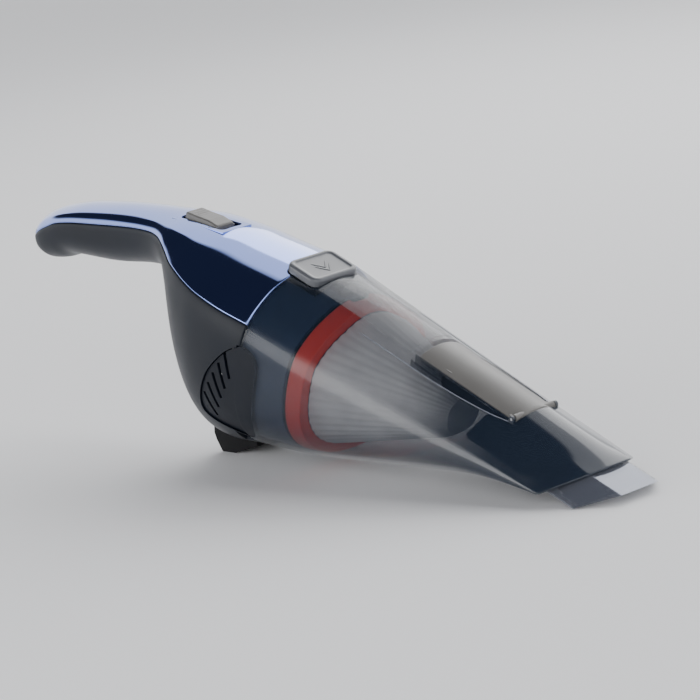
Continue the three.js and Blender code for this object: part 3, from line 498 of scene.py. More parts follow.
# ---------------------------------------------------------------- materials
def material(
    name, color, rough=0.4, metal=0.0, vary=0.08, grain=0.12, size=260.0, rough_vary=0.18, **sockets
):
    """Procedural finish: slight mottling of the colour, uneven gloss and a fine moulded grain."""
    made = bpy.data.materials.new(name)
    made.use_nodes = True
    tree = made.node_tree
    tree.nodes.clear()
    new, link = tree.nodes.new, tree.links.new
    out = new("ShaderNodeOutputMaterial")
    shader = new("ShaderNodeBsdfPrincipled")
    link(shader.outputs["BSDF"], out.inputs["Surface"])
    place = new("ShaderNodeTexCoord")

    def noise(scale, detail=3.0):
        node = new("ShaderNodeTexNoise")
        node.inputs["Scale"].default_value = scale
        node.inputs["Detail"].default_value = detail
        link(place.outputs["Object"], node.inputs["Vector"])
        return node.outputs["Fac"]

    ramp = new("ShaderNodeValToRGB")
    ramp.color_ramp.elements[0].position, ramp.color_ramp.elements[1].position = 0.3, 0.7
    ramp.color_ramp.elements[0].color = (*[c * (1 - vary) for c in color], 1)
    ramp.color_ramp.elements[1].color = (*[min(1, c * (1 + vary)) for c in color], 1)
    link(noise(size * 0.12), ramp.inputs["Fac"])
    link(ramp.outputs["Color"], shader.inputs["Base Color"])

    gloss = new("ShaderNodeMapRange")
    gloss.inputs["To Min"].default_value = rough * (1 - rough_vary)
    gloss.inputs["To Max"].default_value = min(1.0, rough * (1 + rough_vary))
    link(noise(size * 0.3), gloss.inputs["Value"])
    link(gloss.outputs["Result"], shader.inputs["Roughness"])

    if grain:
        bump = new("ShaderNodeBump")
        bump.inputs["Strength"].default_value = grain
        bump.inputs["Distance"].default_value = 0.0001
        link(noise(size * 8, 2.0), bump.inputs["Height"])
        link(bump.outputs["Normal"], shader.inputs["Normal"])
    shader.inputs["Metallic"].default_value = metal
    for socket, value in sockets.items():
        shader.inputs[socket.replace("_", " ")].default_value = value
    return made


def see_through(made, facing, grazing, blend=0.35, nose=0.0):
    """Tinted plastic: thin where it faces out, denser where it turns away and, by nose, towards the mouth."""
    tree = made.node_tree
    shader = next(n for n in tree.nodes if n.type == "BSDF_PRINCIPLED")
    weight = tree.nodes.new("ShaderNodeLayerWeight")
    weight.inputs["Blend"].default_value = blend
    span = tree.nodes.new("ShaderNodeMapRange")
    span.inputs["To Min"].default_value, span.inputs["To Max"].default_value = facing, grazing
    tree.links.new(weight.outputs["Facing"], span.inputs["Value"])
    if not nose:
        tree.links.new(span.outputs["Result"], shader.inputs["Alpha"])
        return made
    place = tree.nodes.new("ShaderNodeTexCoord")
    along = tree.nodes.new("ShaderNodeVectorMath")
    along.operation = "DOT_PRODUCT"
    along.inputs[1].default_value = AXIS
    tree.links.new(place.outputs["Object"], along.inputs[0])
    start = (JUNCTION[0] * COS - JUNCTION[1] * SIN) * MM
    reach = tree.nodes.new("ShaderNodeMapRange")
    reach.interpolation_type = "SMOOTHSTEP"
    reach.inputs["From Min"].default_value = start + 0.09
    reach.inputs["From Max"].default_value = start + 0.185
    reach.inputs["To Max"].default_value = nose
    tree.links.new(along.outputs["Value"], reach.inputs["Value"])
    total = tree.nodes.new("ShaderNodeMath")
    total.use_clamp = True
    tree.links.new(span.outputs["Result"], total.inputs[0])
    tree.links.new(reach.outputs["Result"], total.inputs[1])
    tree.links.new(total.outputs["Value"], shader.inputs["Alpha"])
    return made


GLOSS_BLUE = material(
    "cover_gloss_blue", (0.24, 0.33, 0.74), 0.08, 1.0, vary=0.03, grain=0.015, rough_vary=0.12,
    Coat_Weight=0.5, Coat_Roughness=0.04,
)
NAVY = material("housing_navy", (0.006, 0.009, 0.016), 0.38, grain=0.2, vary=0.14, Specular_IOR_Level=0.22)
CHEEK = material("cheek_navy", (0.005, 0.0075, 0.014), 0.45, grain=0.25, vary=0.14, Specular_IOR_Level=0.2)
COLLAR = material("collar_blue", (0.03, 0.055, 0.12), 0.38, vary=0.12)
BLACK = material("black_plastic", (0.006, 0.007, 0.009), 0.5, grain=0.25, vary=0.15, Specular_IOR_Level=0.25)
RUBBER = material("rubber_black", (0.008, 0.008, 0.009), 0.75, grain=0.4, vary=0.15, Specular_IOR_Level=0.2)
SMOKED = see_through(
    material("smoked_clear", (0.018, 0.027, 0.045), 0.12, vary=0.05, grain=0.02, rough_vary=0.2,
             Coat_Weight=0.35, Coat_Roughness=0.06),
    0.24, 0.66, nose=0.5,
)
STRIP = see_through(
    material("strip_clear", (0.3, 0.31, 0.33), 0.2, vary=0.05, grain=0.02, rough_vary=0.2), 0.12, 0.4,
)
CLEAR_GREY = see_through(
    material("clear_grey", (0.24, 0.26, 0.32), 0.16, 0.55, vary=0.05, grain=0.02,
             Coat_Weight=0.6, Coat_Roughness=0.04),
    0.55, 0.9,
)
WARM_GREY = material("warm_grey", (0.14, 0.135, 0.128), 0.36, vary=0.06, grain=0.2)
MID_GREY = material("mid_grey", (0.1, 0.105, 0.118), 0.3, vary=0.06, grain=0.15, Coat_Weight=0.25)
RED = material("filter_red", (0.95, 0.07, 0.035), 0.4, vary=0.08, grain=0.15)
FLEECE = material("fleece", (0.86, 0.86, 0.88), 0.95, vary=0.1, grain=0.9, size=700)
STEEL = material("steel", (0.55, 0.56, 0.58), 0.3, 1.0, vary=0.06, grain=0.1)
CELL = material("cell_sleeve", (0.03, 0.28, 0.11), 0.42, vary=0.06)
BOARD = material("board_green", (0.012, 0.11, 0.04), 0.45, vary=0.25)
WIRE_RED = material("wire_red", (0.45, 0.02, 0.015), 0.5)
WIRE_BLACK = material("wire_black", (0.012, 0.012, 0.012), 0.5)
SLOTS = {
    "cover_gloss_blue": GLOSS_BLUE, "housing_navy": NAVY, "collar_blue": COLLAR, "black_plastic": BLACK,
    "rubber_black": RUBBER, "smoked_clear": SMOKED, "clear_grey": CLEAR_GREY, "warm_grey": WARM_GREY,
    "mid_grey": MID_GREY, "filter_red": RED, "fleece": FLEECE, "steel": STEEL, "cell_sleeve": CELL,
    "board_green": BOARD, "wire_red": WIRE_RED, "wire_black": WIRE_BLACK,
}


def finish_piece(obj, body, slot, *replaced, look=None):
    obj.data.materials.clear()
    obj.data.materials.append(look or SLOTS[slot])
    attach(obj, body)
    if replaced:
        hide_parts(*replaced)
    return obj


# ---------------------------------------------------------------- housing skin
NOSE_STATION = 16.55
END_X = -150.3


def housing_grid(inset, first, last, rows=150, far=False):
    """Columns first..last of the near half ring from the joint to the handle's rounded end."""
    s = np.linspace(0, NOSE_STATION, rows)
    g = housing_half(s, inset)
    end = g[-1]
    top, bottom = end[0], end[-1]
    centre = np.array([(top[0] + bottom[0]) / 2, 0, bottom[2] + (top[2] - bottom[2]) * 0.5])
    reach = end[:, 0].min() - (END_X + inset)
    dome = []
    for k in range(1, 11):
        a = k / 10 * math.pi / 2 * 0.985
        ring = centre + (end - centre) * math.cos(a) ** 0.5
        ring[:, 0] -= reach * math.sin(a)
        dome.append(ring)
    g = np.concatenate([g, np.array(dome)])[:, first:last]
    return g * np.array([1, -1, 1]) if far else g


def cover_grid(inset):
    near = housing_grid(inset, 0, FLANK + 1)
    far = near[:, 1:] * np.array([1, -1, 1])
    return np.concatenate([near[:, ::-1], far], 1)


def slope_point(x, y, z):
    """Switch pocket frame, leaning with the cover's top line, to the part frame."""
    a = math.radians(9)
    return (x * math.cos(a) + z * math.sin(a) - 0.5, y, -x * math.sin(a) + z * math.cos(a) + 121.9)


def button_outline(g, n=8):
    """Plan of the release button, grown by g."""
    length, width = BUTTON_HALF
    return rounded_rect(BUTTON_MIDDLE, 0, length + g, width + g, max(BUTTON_CORNER + g, 0.8), n)


def button_hole():
    return prism("hole", button_outline(0.5), 44, 74, lambda a, b, h: to_bowl_frame(a, b, h))


NOTCH = [
    (-2, 18.2), (7.5, 18), (12.2, 14.5), (13.9, 8), (13.2, -5), (11, -20), (8.4, -32), (4, -37.5), (-2, -38),
]
CRESCENT = [
    (0.5, 18.2), (-9, 12), (-20, -3), (-25, -14), (-29, -28), (-29, -36), (-20, -38), (0.5, -38),
]


def smooth_outline(points, keep, rounds=3):
    """Corner cutting between the points, leaving those in keep as they are."""
    for _ in range(rounds):
        out, kept = [], []
        n = len(points)
        for i, p in enumerate(points):
            if i in keep:
                out.append(p)
                kept.append(len(out) - 1)
                continue
            a, b = points[i - 1], points[(i + 1) % n]
            out.append((p[0] * 0.75 + a[0] * 0.25, p[1] * 0.75 + a[1] * 0.25))
            out.append((p[0] * 0.75 + b[0] * 0.25, p[1] * 0.75 + b[1] * 0.25))
        points, keep = out, kept
    return points


def grown(points, by):
    """An outline moved outwards by a distance along its corners' normals."""
    pts = [Vector(p) for p in points]
    area = sum(a.x * b.y - b.x * a.y for a, b in zip(pts, pts[1:] + pts[:1]))
    sign = 1 if area > 0 else -1
    out = []
    for i, p in enumerate(pts):
        along = (pts[(i + 1) % len(pts)] - pts[i - 1]).normalized()
        out.append(tuple(p + Vector((along.y, -along.x)) * by * sign))
    return out


NOTCH = smooth_outline(NOTCH, {0, len(NOTCH) - 1})
CRESCENT = smooth_outline(CRESCENT, {0, len(CRESCENT) - 1})


def side_cutter(outline, near=True, low=18, high=60):
    sign = -1 if near else 1
    return prism("side", outline, low * sign, high * sign, lambda a, b, h: to_bowl_frame(a, h, b))


def tab_cutter(g, near=True):
    sign = -1 if near else 1
    return box_mesh("tab", -8 - g, 1 + g, sign * (26 - g), sign * (41 + g), -46, -39 + g, to_bowl_frame)


cover = rounded_shell("cover_skin", cover_grid(0.0), cover_grid(HOUSING_WALL), 0.8, (True, False, True, True))
seat = box_mesh("seat", -21, 21, -9.6, 9.6, -4.8, -0.9, slope_point)
boolean(cover, seat, "UNION")
pocket_outline = rounded_rect(0, 0, 17.5, 7.3, 2.6, 8)
boolean(cover, prism("pocket", pocket_outline, -3.2, 8, slope_point))
boolean(cover, box_mesh("slot", -4.5, 11.5, -2.2, 2.2, -8, 6, slope_point))
boolean(cover, button_hole())
shade(cover)
finish_piece(cover, "housing", "cover_gloss_blue", "top_cover")

for name, far in (("right", False), ("left", True)):
    outer = housing_grid(0.0, FLANK, None, far=far)
    inner = housing_grid(HOUSING_WALL, FLANK, None, far=far)
    sign = 1 if far else -1
    for g in (outer, inner):
        g[:, -1, 1] = sign * 0.1
    half = rounded_shell(
        "housing_skin_" + name, outer, inner, 0.6, (True, False, True, True),
        centre=(outer[:, :, 0].mean(), 0, 70),
    )
    boolean(half, side_cutter(grown(NOTCH, 0.3), not far))
    boolean(half, side_cutter(grown(CRESCENT, 0.3), not far))
    boolean(half, tab_cutter(0.3, not far))
    boolean(half, button_hole())
    boolean(half, rod_mesh("socket", (-21.5, 0, 43), (-1.5, 0, 43), 5.2, 40, False))
    shade(half)
    finish_piece(half, "housing", "housing_navy", "housing_" + name)

# ---------------------------------------------------------------- exhaust cheeks
def bowl_rings(us, inset):
    uu, y, w = bowl_half(us, inset)
    return full_rings(bowl_point(uu, y, w))


def closed_body(name, rings, smooth=False):
    """Closed body through full rings, with flat ends."""
    rows, cols = rings.shape[:2]
    faces = grid_faces(rows, cols, 0, True)
    faces += [tuple(range(cols)), tuple(range(rows * cols - 1, (rows - 1) * cols - 1, -1))]
    return make_object(name, rings.reshape(-1, 3), faces, smooth=smooth)


def bowl_band(name, u0, u1, outer, inner, rows=12):
    us = np.linspace(u0, u1, rows)
    return make_object(name, *tube_from(bowl_rings(us, outer), bowl_rings(us, inner)), smooth=False)


def housing_band(name, s1, outer, inner, rows=60):
    s = np.linspace(0, s1, rows)
    rings = [full_rings(housing_half(s, inset)) for inset in (outer, inner)]
    return make_object(name, *tube_from(*rings), smooth=False)


for name, far in (("right", False), ("left", True)):
    sign = 1 if far else -1
    front = bowl_band("front", -0.5, 16, 0.25, 2.2, 24)
    boolean(front, side_cutter(grown(NOTCH, -0.1), not far), "INTERSECT")
    rear = housing_band("rear", 5.0, 0.9, 2.3)
    boolean(rear, side_cutter(grown(CRESCENT, -0.1), not far), "INTERSECT")
    for i in range(5):
        a = math.radians(24 + 2 * i)
        cu, cw = -8 - i * 3.4, 3 - i * 7.6

        def louvre(x, y, z, a=a, cu=cu, cw=cw):
            turned = (x * math.cos(a) - z * math.sin(a), x * math.sin(a) + z * math.cos(a))
            return to_bowl_frame(cu + turned[0], y, cw + turned[1])

        boolean(rear, box_mesh("louvre", -1.1, 1.1, *sorted((20 * sign, 60 * sign)), -7, 7, louvre))
    boolean(rear, tab_cutter(0.3, not far))
    boolean(front, tab_cutter(0.3, not far))
    cheek = join([front, rear], "cheek_skin_" + name)
    finish_piece(cheek, "housing", "black_plastic", "exhaust_cheek_" + name, look=CHEEK)

# ---------------------------------------------------------------- dust bowl
FACET = np.arange(0, 30.5, 0.5)
REACH = np.arange(0, 240.5, 0.5)


def facet_table(inset):
    """Height of the bowl's top and flank above each (u, y), where the mouth's lean is allowed for."""
    v = np.linspace(0, MOUTH_U, 240)
    y, w = section(bowl_section(v, inset))
    y, w = y[:, :FLANK + 1], w[:, :FLANK + 1]
    lean = MOUTH_RAKE * smoothstep(110, MOUTH_U, v)
    base = BOWL["wb"](v)
    table = np.empty((len(REACH), len(FACET)))
    for j, half in enumerate(FACET):
        height = np.array([np.interp(half, y[i], w[i]) for i in range(len(v))])
        table[:, j] = np.interp(REACH, v + lean * (height - base), height)
    return table


TABLES = {}


def skin_height(u, y, inset=0.0):
    if inset not in TABLES:
        TABLES[inset] = facet_table(inset)
    table = TABLES[inset]
    a = np.clip(np.asarray(u, float) / 0.5, 0, len(REACH) - 1.001)
    b = np.clip(np.abs(np.asarray(y, float)) / 0.5, 0, len(FACET) - 1.001)
    i, j = a.astype(int), b.astype(int)
    s, t = a - i, b - j
    return (
        table[i, j] * (1 - s) * (1 - t) + table[i + 1, j] * s * (1 - t)
        + table[i, j + 1] * (1 - s) * t + table[i + 1, j + 1] * s * t
    )


def facet_patch(name, u, y, outer, inner, r, sides=(True, True, True, True)):
    """Closed plate that follows the bowl's top: u and y are grids, outer and inner are insets."""
    top = bowl_point(u, y, skin_height(u, y) - outer)
    under = bowl_point(u, y, skin_height(u, y) - inner)
    centre = under.reshape(-1, 3).mean(0) - np.array([0, 0, 40])
    return rounded_shell(name, top, under, r, sides, centre=centre)


leaf_edge = curve([58, 95, 125, 148, 158, 164], [19.8, 19.3, 18.4, 16.6, 15.1, 13.7])


def leaf_grid(sign):
    """Plan grid of the leaf-shaped recess: from beside the brush panel out to the ridge line."""
    u = np.linspace(LEAF_REAR, LEAF_FRONT, 40)
    room = leaf_edge(u) - 0.45 - LEAF_INSIDE
    share = np.clip((u - LEAF_REAR) / 5, 0.04, 1) ** 0.5
    across = np.linspace(0, 1, 8)
    y = LEAF_INSIDE + np.maximum(room * share, 0.12)[:, None] * across[None]
    return np.broadcast_to(u[:, None], y.shape), sign * y


bowl_u = np.concatenate([[0.3], np.linspace(3, 196, 110), [MOUTH_U]])


def bowl_wall(u):
    return BOWL_WALL + (MOUTH_WALL - BOWL_WALL) * smoothstep(150, MOUTH_U, u)


def bowl_grid(inset):
    return edge_lines(bowl_rings(bowl_u, inset), 0.7, (True, True, False, False))


outer = bowl_grid(0.0)
normals = outward(outer, closed=True)
outer = round_edges(outer, normals, 0.7, (True, True, False, False))
inner = bowl_grid(bowl_wall(bowl_u))
bowl = make_object("bowl_skin", *tube_from(outer, inner), smooth=False)
core = closed_body("core", bowl_rings(np.linspace(60, 190, 60), 0.5))
bay = box_mesh("bay", 91, 129.4, -BAY_HALF, BAY_HALF, 44.4, 54, to_bowl_frame)
boolean(bay, box_mesh("bay_front", 129, 168, -BAY_HALF, BAY_HALF, 48.4, 54, to_bowl_frame), "UNION")
boolean(bay, box_mesh("hinge_floor", 156.5, 168, -BAY_HALF, BAY_HALF, 47.55, 54, to_bowl_frame), "UNION")
boolean(bay, core, "INTERSECT")
boolean(bowl, bay, "UNION")
for sign in (-1, 1):
    low, high = sorted((13.35 * sign, 14.75 * sign))
    ear = box_mesh("ear", HINGE_U - EAR_R, HINGE_U + EAR_R, low, high, 47.6, HINGE_W, to_bowl_frame)
    boolean(ear, hinge_rod("ear_top", low, high, EAR_R, 32), "UNION")
    boolean(bowl, ear, "UNION")
    low, high = sorted((10.9 * sign, 12.1 * sign))
    boolean(bowl, box_mesh("flap_ear", 143.2, 145.6, low, high, 44.7, 48.9, to_bowl_frame), "UNION")
hole_half = PANEL_HALF + PANEL_GAP
hole_rear, hole_front = PANEL_REAR - PANEL_GAP, PANEL_FRONT + PANEL_GAP
panel_hole = [(hole_rear, hole_half), (hole_rear, -hole_half)]
panel_hole += [(hole_front + PANEL_BULGE * (1 - t * t), hole_half * t) for t in np.linspace(-1, 1, 21)]
boolean(bowl, prism("panel_hole", panel_hole, 49.6, 80, to_bowl_frame))
boolean(bowl, box_mesh("brush_bay", 92.4, 128, -hole_half, hole_half, 45.8, 70, to_bowl_frame))
under = prism("hinge_bay", panel_hole, 48.2, 50.2, to_bowl_frame)
boolean(under, box_mesh("front_part", 159, 170, -20, 20, 40, 60, to_bowl_frame), "INTERSECT")
boolean(bowl, under)
sweep_room = hinge_rod("lip_room", -9, 9, LIP_R + PANEL_GAP, 40)
boolean(sweep_room, box_mesh("below_skin", 159, 166, -9, 9, 48.2, 51.2, to_bowl_frame), "INTERSECT")
boolean(bowl, sweep_room)
boolean(bowl, hinge_rod("pivot", -16, 16, 0.75, 20))
boolean(bowl, hinge_rod("flap_pivot", -13, 13, 0.65, 20, FLAP_U, FLAP_W))
for sign in (-1, 1):
    boolean(bowl, side_cutter(grown(NOTCH, 0.15), sign < 0))
    u, y = leaf_grid(sign)
    leaf = shell_from(
        bowl_point(u, y, skin_height(u, y) + 1.5), bowl_point(u, y, skin_height(u, y) - LEAF_DEPTH),
    )
    boolean(bowl, make_object("leaf", *leaf, smooth=False))
boolean(bowl, button_hole())
rib = box_mesh("catch", 19.9, 23.8, -6, 6, 49.3, 53, to_bowl_frame)
boolean(bowl, rib, "UNION")
shade(bowl, 30)
finish_piece(bowl, "bowl", "smoked_clear", "dust_bowl")

for name, far in (("right", False), ("left", True)):
    tab = bowl_band("tab_band", -9, 1.6, 0.25, 1.9, 10)
    boolean(tab, tab_cutter(-0.05, not far), "INTERSECT")
    shade(tab)
    tab.name = "bowl_tab_" + name
    finish_piece(tab, "bowl", "smoked_clear")

span = np.linspace(-14, 14, 29)
along = np.linspace(19.5, 89.5, 36)
u, y = np.meshgrid(along, span, indexing="ij")
strip = facet_patch("bowl_strip", u, y, -0.3, -0.03, 0.25)
finish_piece(strip, "bowl", "smoked_clear", look=STRIP)

for name, sign in (("right", -1), ("left", 1)):
    # Bead along the leaf recess's edge: the ridge is real bowl shape, and its lighter clear grey is a painted
    # highlight along that edge.
    u = np.linspace(58, 163.6, 60)
    edge = bowl_point(u, sign * leaf_edge(u), skin_height(u, leaf_edge(u)) + 0.02)
    ridge = sweep("leaf_ridge_painted_highlight_" + name, edge, 0.3, 8, 0.8)
    finish_piece(ridge, "bowl", "clear_grey")
    # Black plate laid on the floor of the leaf recess: painted shade, a dark sheet standing in for the shade
    # that falls into the recess of the smoked bowl.
    u, y = leaf_grid(sign)
    recess_shade_plate = facet_patch("leaf_painted_shade_" + name, u, y, LEAF_DEPTH + 0.02, LEAF_DEPTH + 0.12, 0.04)
    finish_piece(recess_shade_plate, "bowl", "smoked_clear", look=BLACK)

# ---------------------------------------------------------------- flip-up brush
half_width = np.linspace(-PANEL_HALF, PANEL_HALF, 33)
share = np.linspace(0, 1, 48)
front_edge = PANEL_FRONT + PANEL_BULGE * (1 - (half_width / PANEL_HALF) ** 2)
u = PANEL_REAR + share[:, None] * (front_edge[None] - PANEL_REAR)
y = np.broadcast_to(half_width, u.shape)
panel = facet_patch("brush_panel_skin", u, y, 0.15, 2.35, 0.6)
lip = box_mesh("lip", HINGE_U, 170, -14, 14, 46, 60, to_bowl_frame)
boolean(lip, hinge_rod("turn", -15, 15, LIP_R, 48))
boolean(panel, lip)
boolean(panel, box_mesh("foot_cut", 80, 180, -20, 20, 30, 49.9, to_bowl_frame))
shade(panel)
finish_piece(panel, "brush", "warm_grey", "brush_panel")
for name, dims in (
    ("brush_bridge", (112, 116, -11.5, 11.5, 47.4, 52.4)),
    ("brush_web", (158, 161.9, -12.4, 12.4, 50.3, 51.5)),
):
    piece = box_mesh(name, *dims, to_bowl_frame, soft=0.3)
    finish_piece(piece, "brush", "warm_grey")
barrel = hinge_rod("brush_barrel", -PANEL_HALF + 0.2, PANEL_HALF - 0.2, BARREL_R, 32, smooth=True)
soften(barrel, 0.3)
finish_piece(barrel, "brush", "warm_grey")

BRISTLE_ROOT, BRISTLE_LENGTH, BRISTLE_R = 112.0, 18.4, 0.21
BRISTLE_ROWS, BRISTLES_A_ROW, BRISTLE_SPREAD = 3, 41, 10.9


def bristle(row, k):
    """One strand, bent a little sideways and up by its own place in the row."""
    sway = math.sin(k * 12.9898 + row * 4.1) * 0.35
    y0 = -BRISTLE_SPREAD + 2 * BRISTLE_SPREAD * k / (BRISTLES_A_ROW - 1)
    w0 = 47.1 + row * 0.95
    path = []
    for t in (0, 0.35, 0.7, 1):
        lift = 0.12 * math.sin(k * 3.7 + t * 2)
        path.append(to_bowl_frame(BRISTLE_ROOT - BRISTLE_LENGTH * t, y0 + sway * t * t, w0 + lift))
    return sweep("strand", path, BRISTLE_R, 5)


strands = [bristle(row, k) for row in range(BRISTLE_ROWS) for k in range(BRISTLES_A_ROW)]
holder = box_mesh("holder", 107.6, 111.8, -11.2, 11.2, 46.6, 49.5, to_bowl_frame)
bristles = join(strands + [holder], "brush_tufts")
finish_piece(bristles, "brush", "black_plastic", "brush_bristles")

# ---------------------------------------------------------------- release button
BUTTON_DISH = 55.34
profile = [
    (0.0, 51.6), (0.0, 54.3), (-0.08, 54.7), (-0.25, 55.1), (-0.5, 55.45), (-0.85, 55.75), (-1.3, 55.92),
    (-1.9, 56.0), (-2.4, 55.93), (-2.8, 55.75), (-3.1, 55.5), (-3.35, 55.38),
    (-4.2, BUTTON_DISH), (-6.0, 55.3), (-9.0, 55.28),
]
rings = np.array([[to_bowl_frame(a, b, h) for a, b in button_outline(g, 10)] for g, h in profile])
plate = closed_body("plate", rings, smooth=True)
hook = box_mesh("hook", 4, 10, -4.5, 4.5, 43, 51.8, to_bowl_frame)
boolean(hook, box_mesh("arm", 4, 27.2, -4.5, 4.5, 43, 46.4, to_bowl_frame), "UNION")
nose = [(24.2, 46), (27.2, 46), (27.2, 50.6), (25.2, 51.6), (24.2, 51.6)]
boolean(hook, prism("nose", nose, -4.5, 4.5, lambda a, b, h: to_bowl_frame(a, h, b)), "UNION")
boolean(plate, hook, "UNION")
shade(plate)
plate.name = "release_button_plate"
finish_piece(plate, "button", "mid_grey", "release_button")
chevron = [(3.0, -4.6), (9.2, 0), (3.0, 4.6)]
marks = []
for shift in (0.0, 3.4):
    path = []
    for (a0, b0), (a1, b1) in zip(chevron, chevron[1:]):
        for t in np.linspace(0, 1, 9):
            path.append(to_bowl_frame(a0 + (a1 - a0) * t + shift - 1.2, b0 + (b1 - b0) * t, BUTTON_DISH))
    marks.append(sweep("mark", path, 0.4, 8, 0.6))
icon = join(marks, "release_button_icon")
finish_piece(icon, "button", "mid_grey")

# ---------------------------------------------------------------- power switch
SLIDE_REAR, SLIDE_FRONT = -14.5, 11.5
SLIDE_X = np.concatenate([
    [SLIDE_REAR, -14.4, -14.2, -13.9, -13.5],
    np.linspace(-12.8, 10, 42),
    [10.5, 10.9, 11.2, 11.4, SLIDE_FRONT],
])


def slide_height(x):
    """Top line of the slider: a wedge that falls towards the front."""
    return np.interp(x, [SLIDE_REAR, -11, -6, 4, SLIDE_FRONT], [2.6, 2.45, 2.0, 1.5, -0.3])


rings = []
for x in SLIDE_X:
    end = min(x - SLIDE_REAR, SLIDE_FRONT - x)
    drop = 1.0 - math.sqrt(max(1.0 - (1.0 - min(end, 1.0)) ** 2, 0))
    h = float(slide_height(x)) - drop * 0.8
    low, top = 6.45 - drop * 0.8, 5.7 - drop * 0.8
    wave = 0.16 * math.cos(x * math.pi / 1.25) * (1 if -13.6 < x < -4 else 0)
    r = min(1.1, (h + 2.9) * 0.45)
    ring = [(low, -2.9), (low, -1.6)]
    ring += [(top - r + r * math.cos(a), h - r + r * math.sin(a)) for a in np.linspace(0, math.pi / 2, 7)]
    ring += [(t, h + wave) for t in np.linspace(top - r - 0.5, 0, 6)]
    full = ring + [(-a, b) for a, b in ring[::-1][1:]]
    rings.append([slope_point(x, a, b) for a, b in full])
slider = closed_body("power_switch_slider", np.array(rings), smooth=True)
boolean(slider, box_mesh("stem", -3.6, 4.6, -1.8, 1.8, -13.5, -2.5, slope_point), "UNION")
shade(slider)
finish_piece(slider, "switch", "warm_grey", "power_switch")

# ---------------------------------------------------------------- collar and filter
COLLAR_INSET, COLLAR_THICK, COLLAR_FACE = 2.8, 1.8, 28.0


def collar_step(us):
    """How far the collar's rear stands in from its front part, to clear the housing's wall."""
    return np.interp(us, [-8, 0, 6, 40], [1.2, 0.5, 0, 0])


us = np.array([-8, -6, -4, -2, 0, 2, 4, 6, 9, 12, 16, 20, 24, 28, 30, 32], float)
collar = closed_body("collar_skin", bowl_rings(us, COLLAR_INSET + collar_step(us)))
hollow_u = np.array([-10, *us[us < COLLAR_FACE], COLLAR_FACE])
hollow_inset = COLLAR_INSET + COLLAR_THICK + collar_step(hollow_u)
hollow = closed_body("hollow", bowl_rings(hollow_u, hollow_inset))
boolean(collar, hollow)
boolean(collar, box_mesh("latch_slot", -9, 19.4, -15.7, 15.7, 40, 60, to_bowl_frame))
boolean(collar, box_mesh("arm_slot", 0, 28, -6.6, 6.6, 40, 60, to_bowl_frame))
boolean(collar, box_mesh("nose_slot", 27, 33, -6.6, 6.6, 48.9, 60, to_bowl_frame))
for count, r, offset in ((7, 13.5, 0), (11, 22.5, 15)):
    for i in range(count):
        a = math.radians(offset + 360 / count * i)
        y, w = r * math.cos(a), r * math.sin(a)
        boolean(collar, rod_mesh("vent", to_bowl_frame(20, y, w), to_bowl_frame(40, y, w), 2.8, 6, False))
boolean(collar, rod_mesh("vent", to_bowl_frame(20, 0, 0), to_bowl_frame(40, 0, 0), 5, 20, False))
shade(collar)
finish_piece(collar, "housing", "collar_blue", "bowl_collar")
shelf = box_mesh("collar_shelf", 1, 27.9, -6.5, 6.5, 30.4, 32.4, to_bowl_frame, soft=0.3)
finish_piece(shelf, "housing", "collar_blue")

for name, node, slot, u0, u1, out, r in (
    ("filter_ring_band", "filter_ring", "filter_red", 34.4, 45.0, 2.5, 0.7),
    ("filter_seal_band", "filter_seal", "rubber_black", 32.4, 34.1, 3.4, 0.4),
):
    us = np.linspace(u0, u1, 9)
    sides = (True, True, False, False)
    a = edge_lines(bowl_rings(us, out), r, sides)
    a = round_edges(a, outward(a, True), r, sides)
    band = make_object(name, *tube_from(a, edge_lines(bowl_rings(us, 7.6), r, sides)), smooth=False)
    boolean(band, box_mesh("catch_path", 30, 50, -6.6, 6.6, 48.9, 60, to_bowl_frame))
    shade(band)
    finish_piece(band, "filter", slot, node)

CONE_HUB = 9.5
PLEATS, PLEAT_DEPTH = 44, 0.007
CONE_REAR, CONE_LENGTH = 45.4, 72.0


def cone_rings(us, scales, count=PLEATS * 8):
    """Closed rings of the filter cone, pleated all round by a share of its radius."""
    uu, y, w = bowl_half(np.array([45.0]), 7.2)
    half = np.stack([y[0], w[0]], -1)
    loop = np.concatenate([half, half[1:-1][::-1] * np.array([-1, 1])])
    closed = np.concatenate([loop, loop[:1]])
    run = np.concatenate([[0], np.cumsum(np.linalg.norm(np.diff(closed, axis=0), axis=1))])
    place = np.linspace(0, run[-1], count, endpoint=False)
    loop = np.stack([np.interp(place, run, closed[:, k]) for k in (0, 1)], -1)
    wave = 1 + PLEAT_DEPTH * np.cos(np.arange(count) / count * 2 * math.pi * PLEATS)
    rings = []
    for u, scale in zip(us, scales):
        share = (u - CONE_REAR) / CONE_LENGTH
        k = scale * (1 - 0.66 * share) * wave
        w = CONE_HUB + 17 * share + (loop[:, 1] - CONE_HUB) * k
        rings.append(bowl_point(np.full(count, u), loop[:, 0] * k, w))
    return np.array(rings)


us = np.concatenate([np.linspace(CONE_REAR, 112, 14), [113.5, 115, 116.2, 117]])
fade = np.interp(us, [112, 117], [1, 0.85])
outer = cone_rings(us, 0.985 * fade)
inner_us = np.minimum(us, 115.4)
inner = cone_rings(inner_us, 0.95 * np.interp(us, [112, 117], [1, 0.84]))
rows, cols = outer.shape[:2]
count = rows * cols
faces = grid_faces(rows, cols, 0, True) + [tuple(reversed(f)) for f in grid_faces(rows, cols, count, True)]
faces += [(j, (j + 1) % cols, (j + 1) % cols + count, j + count) for j in range(cols)]
faces += [tuple(range((rows - 1) * cols, rows * cols)), tuple(range(count * 2 - 1, count * 2 - cols - 1, -1))]
cone = make_object("filter_fleece_cone", np.concatenate([outer.reshape(-1, 3), inner.reshape(-1, 3)]), faces)
finish_piece(cone, "filter", "fleece", "filter_fleece")

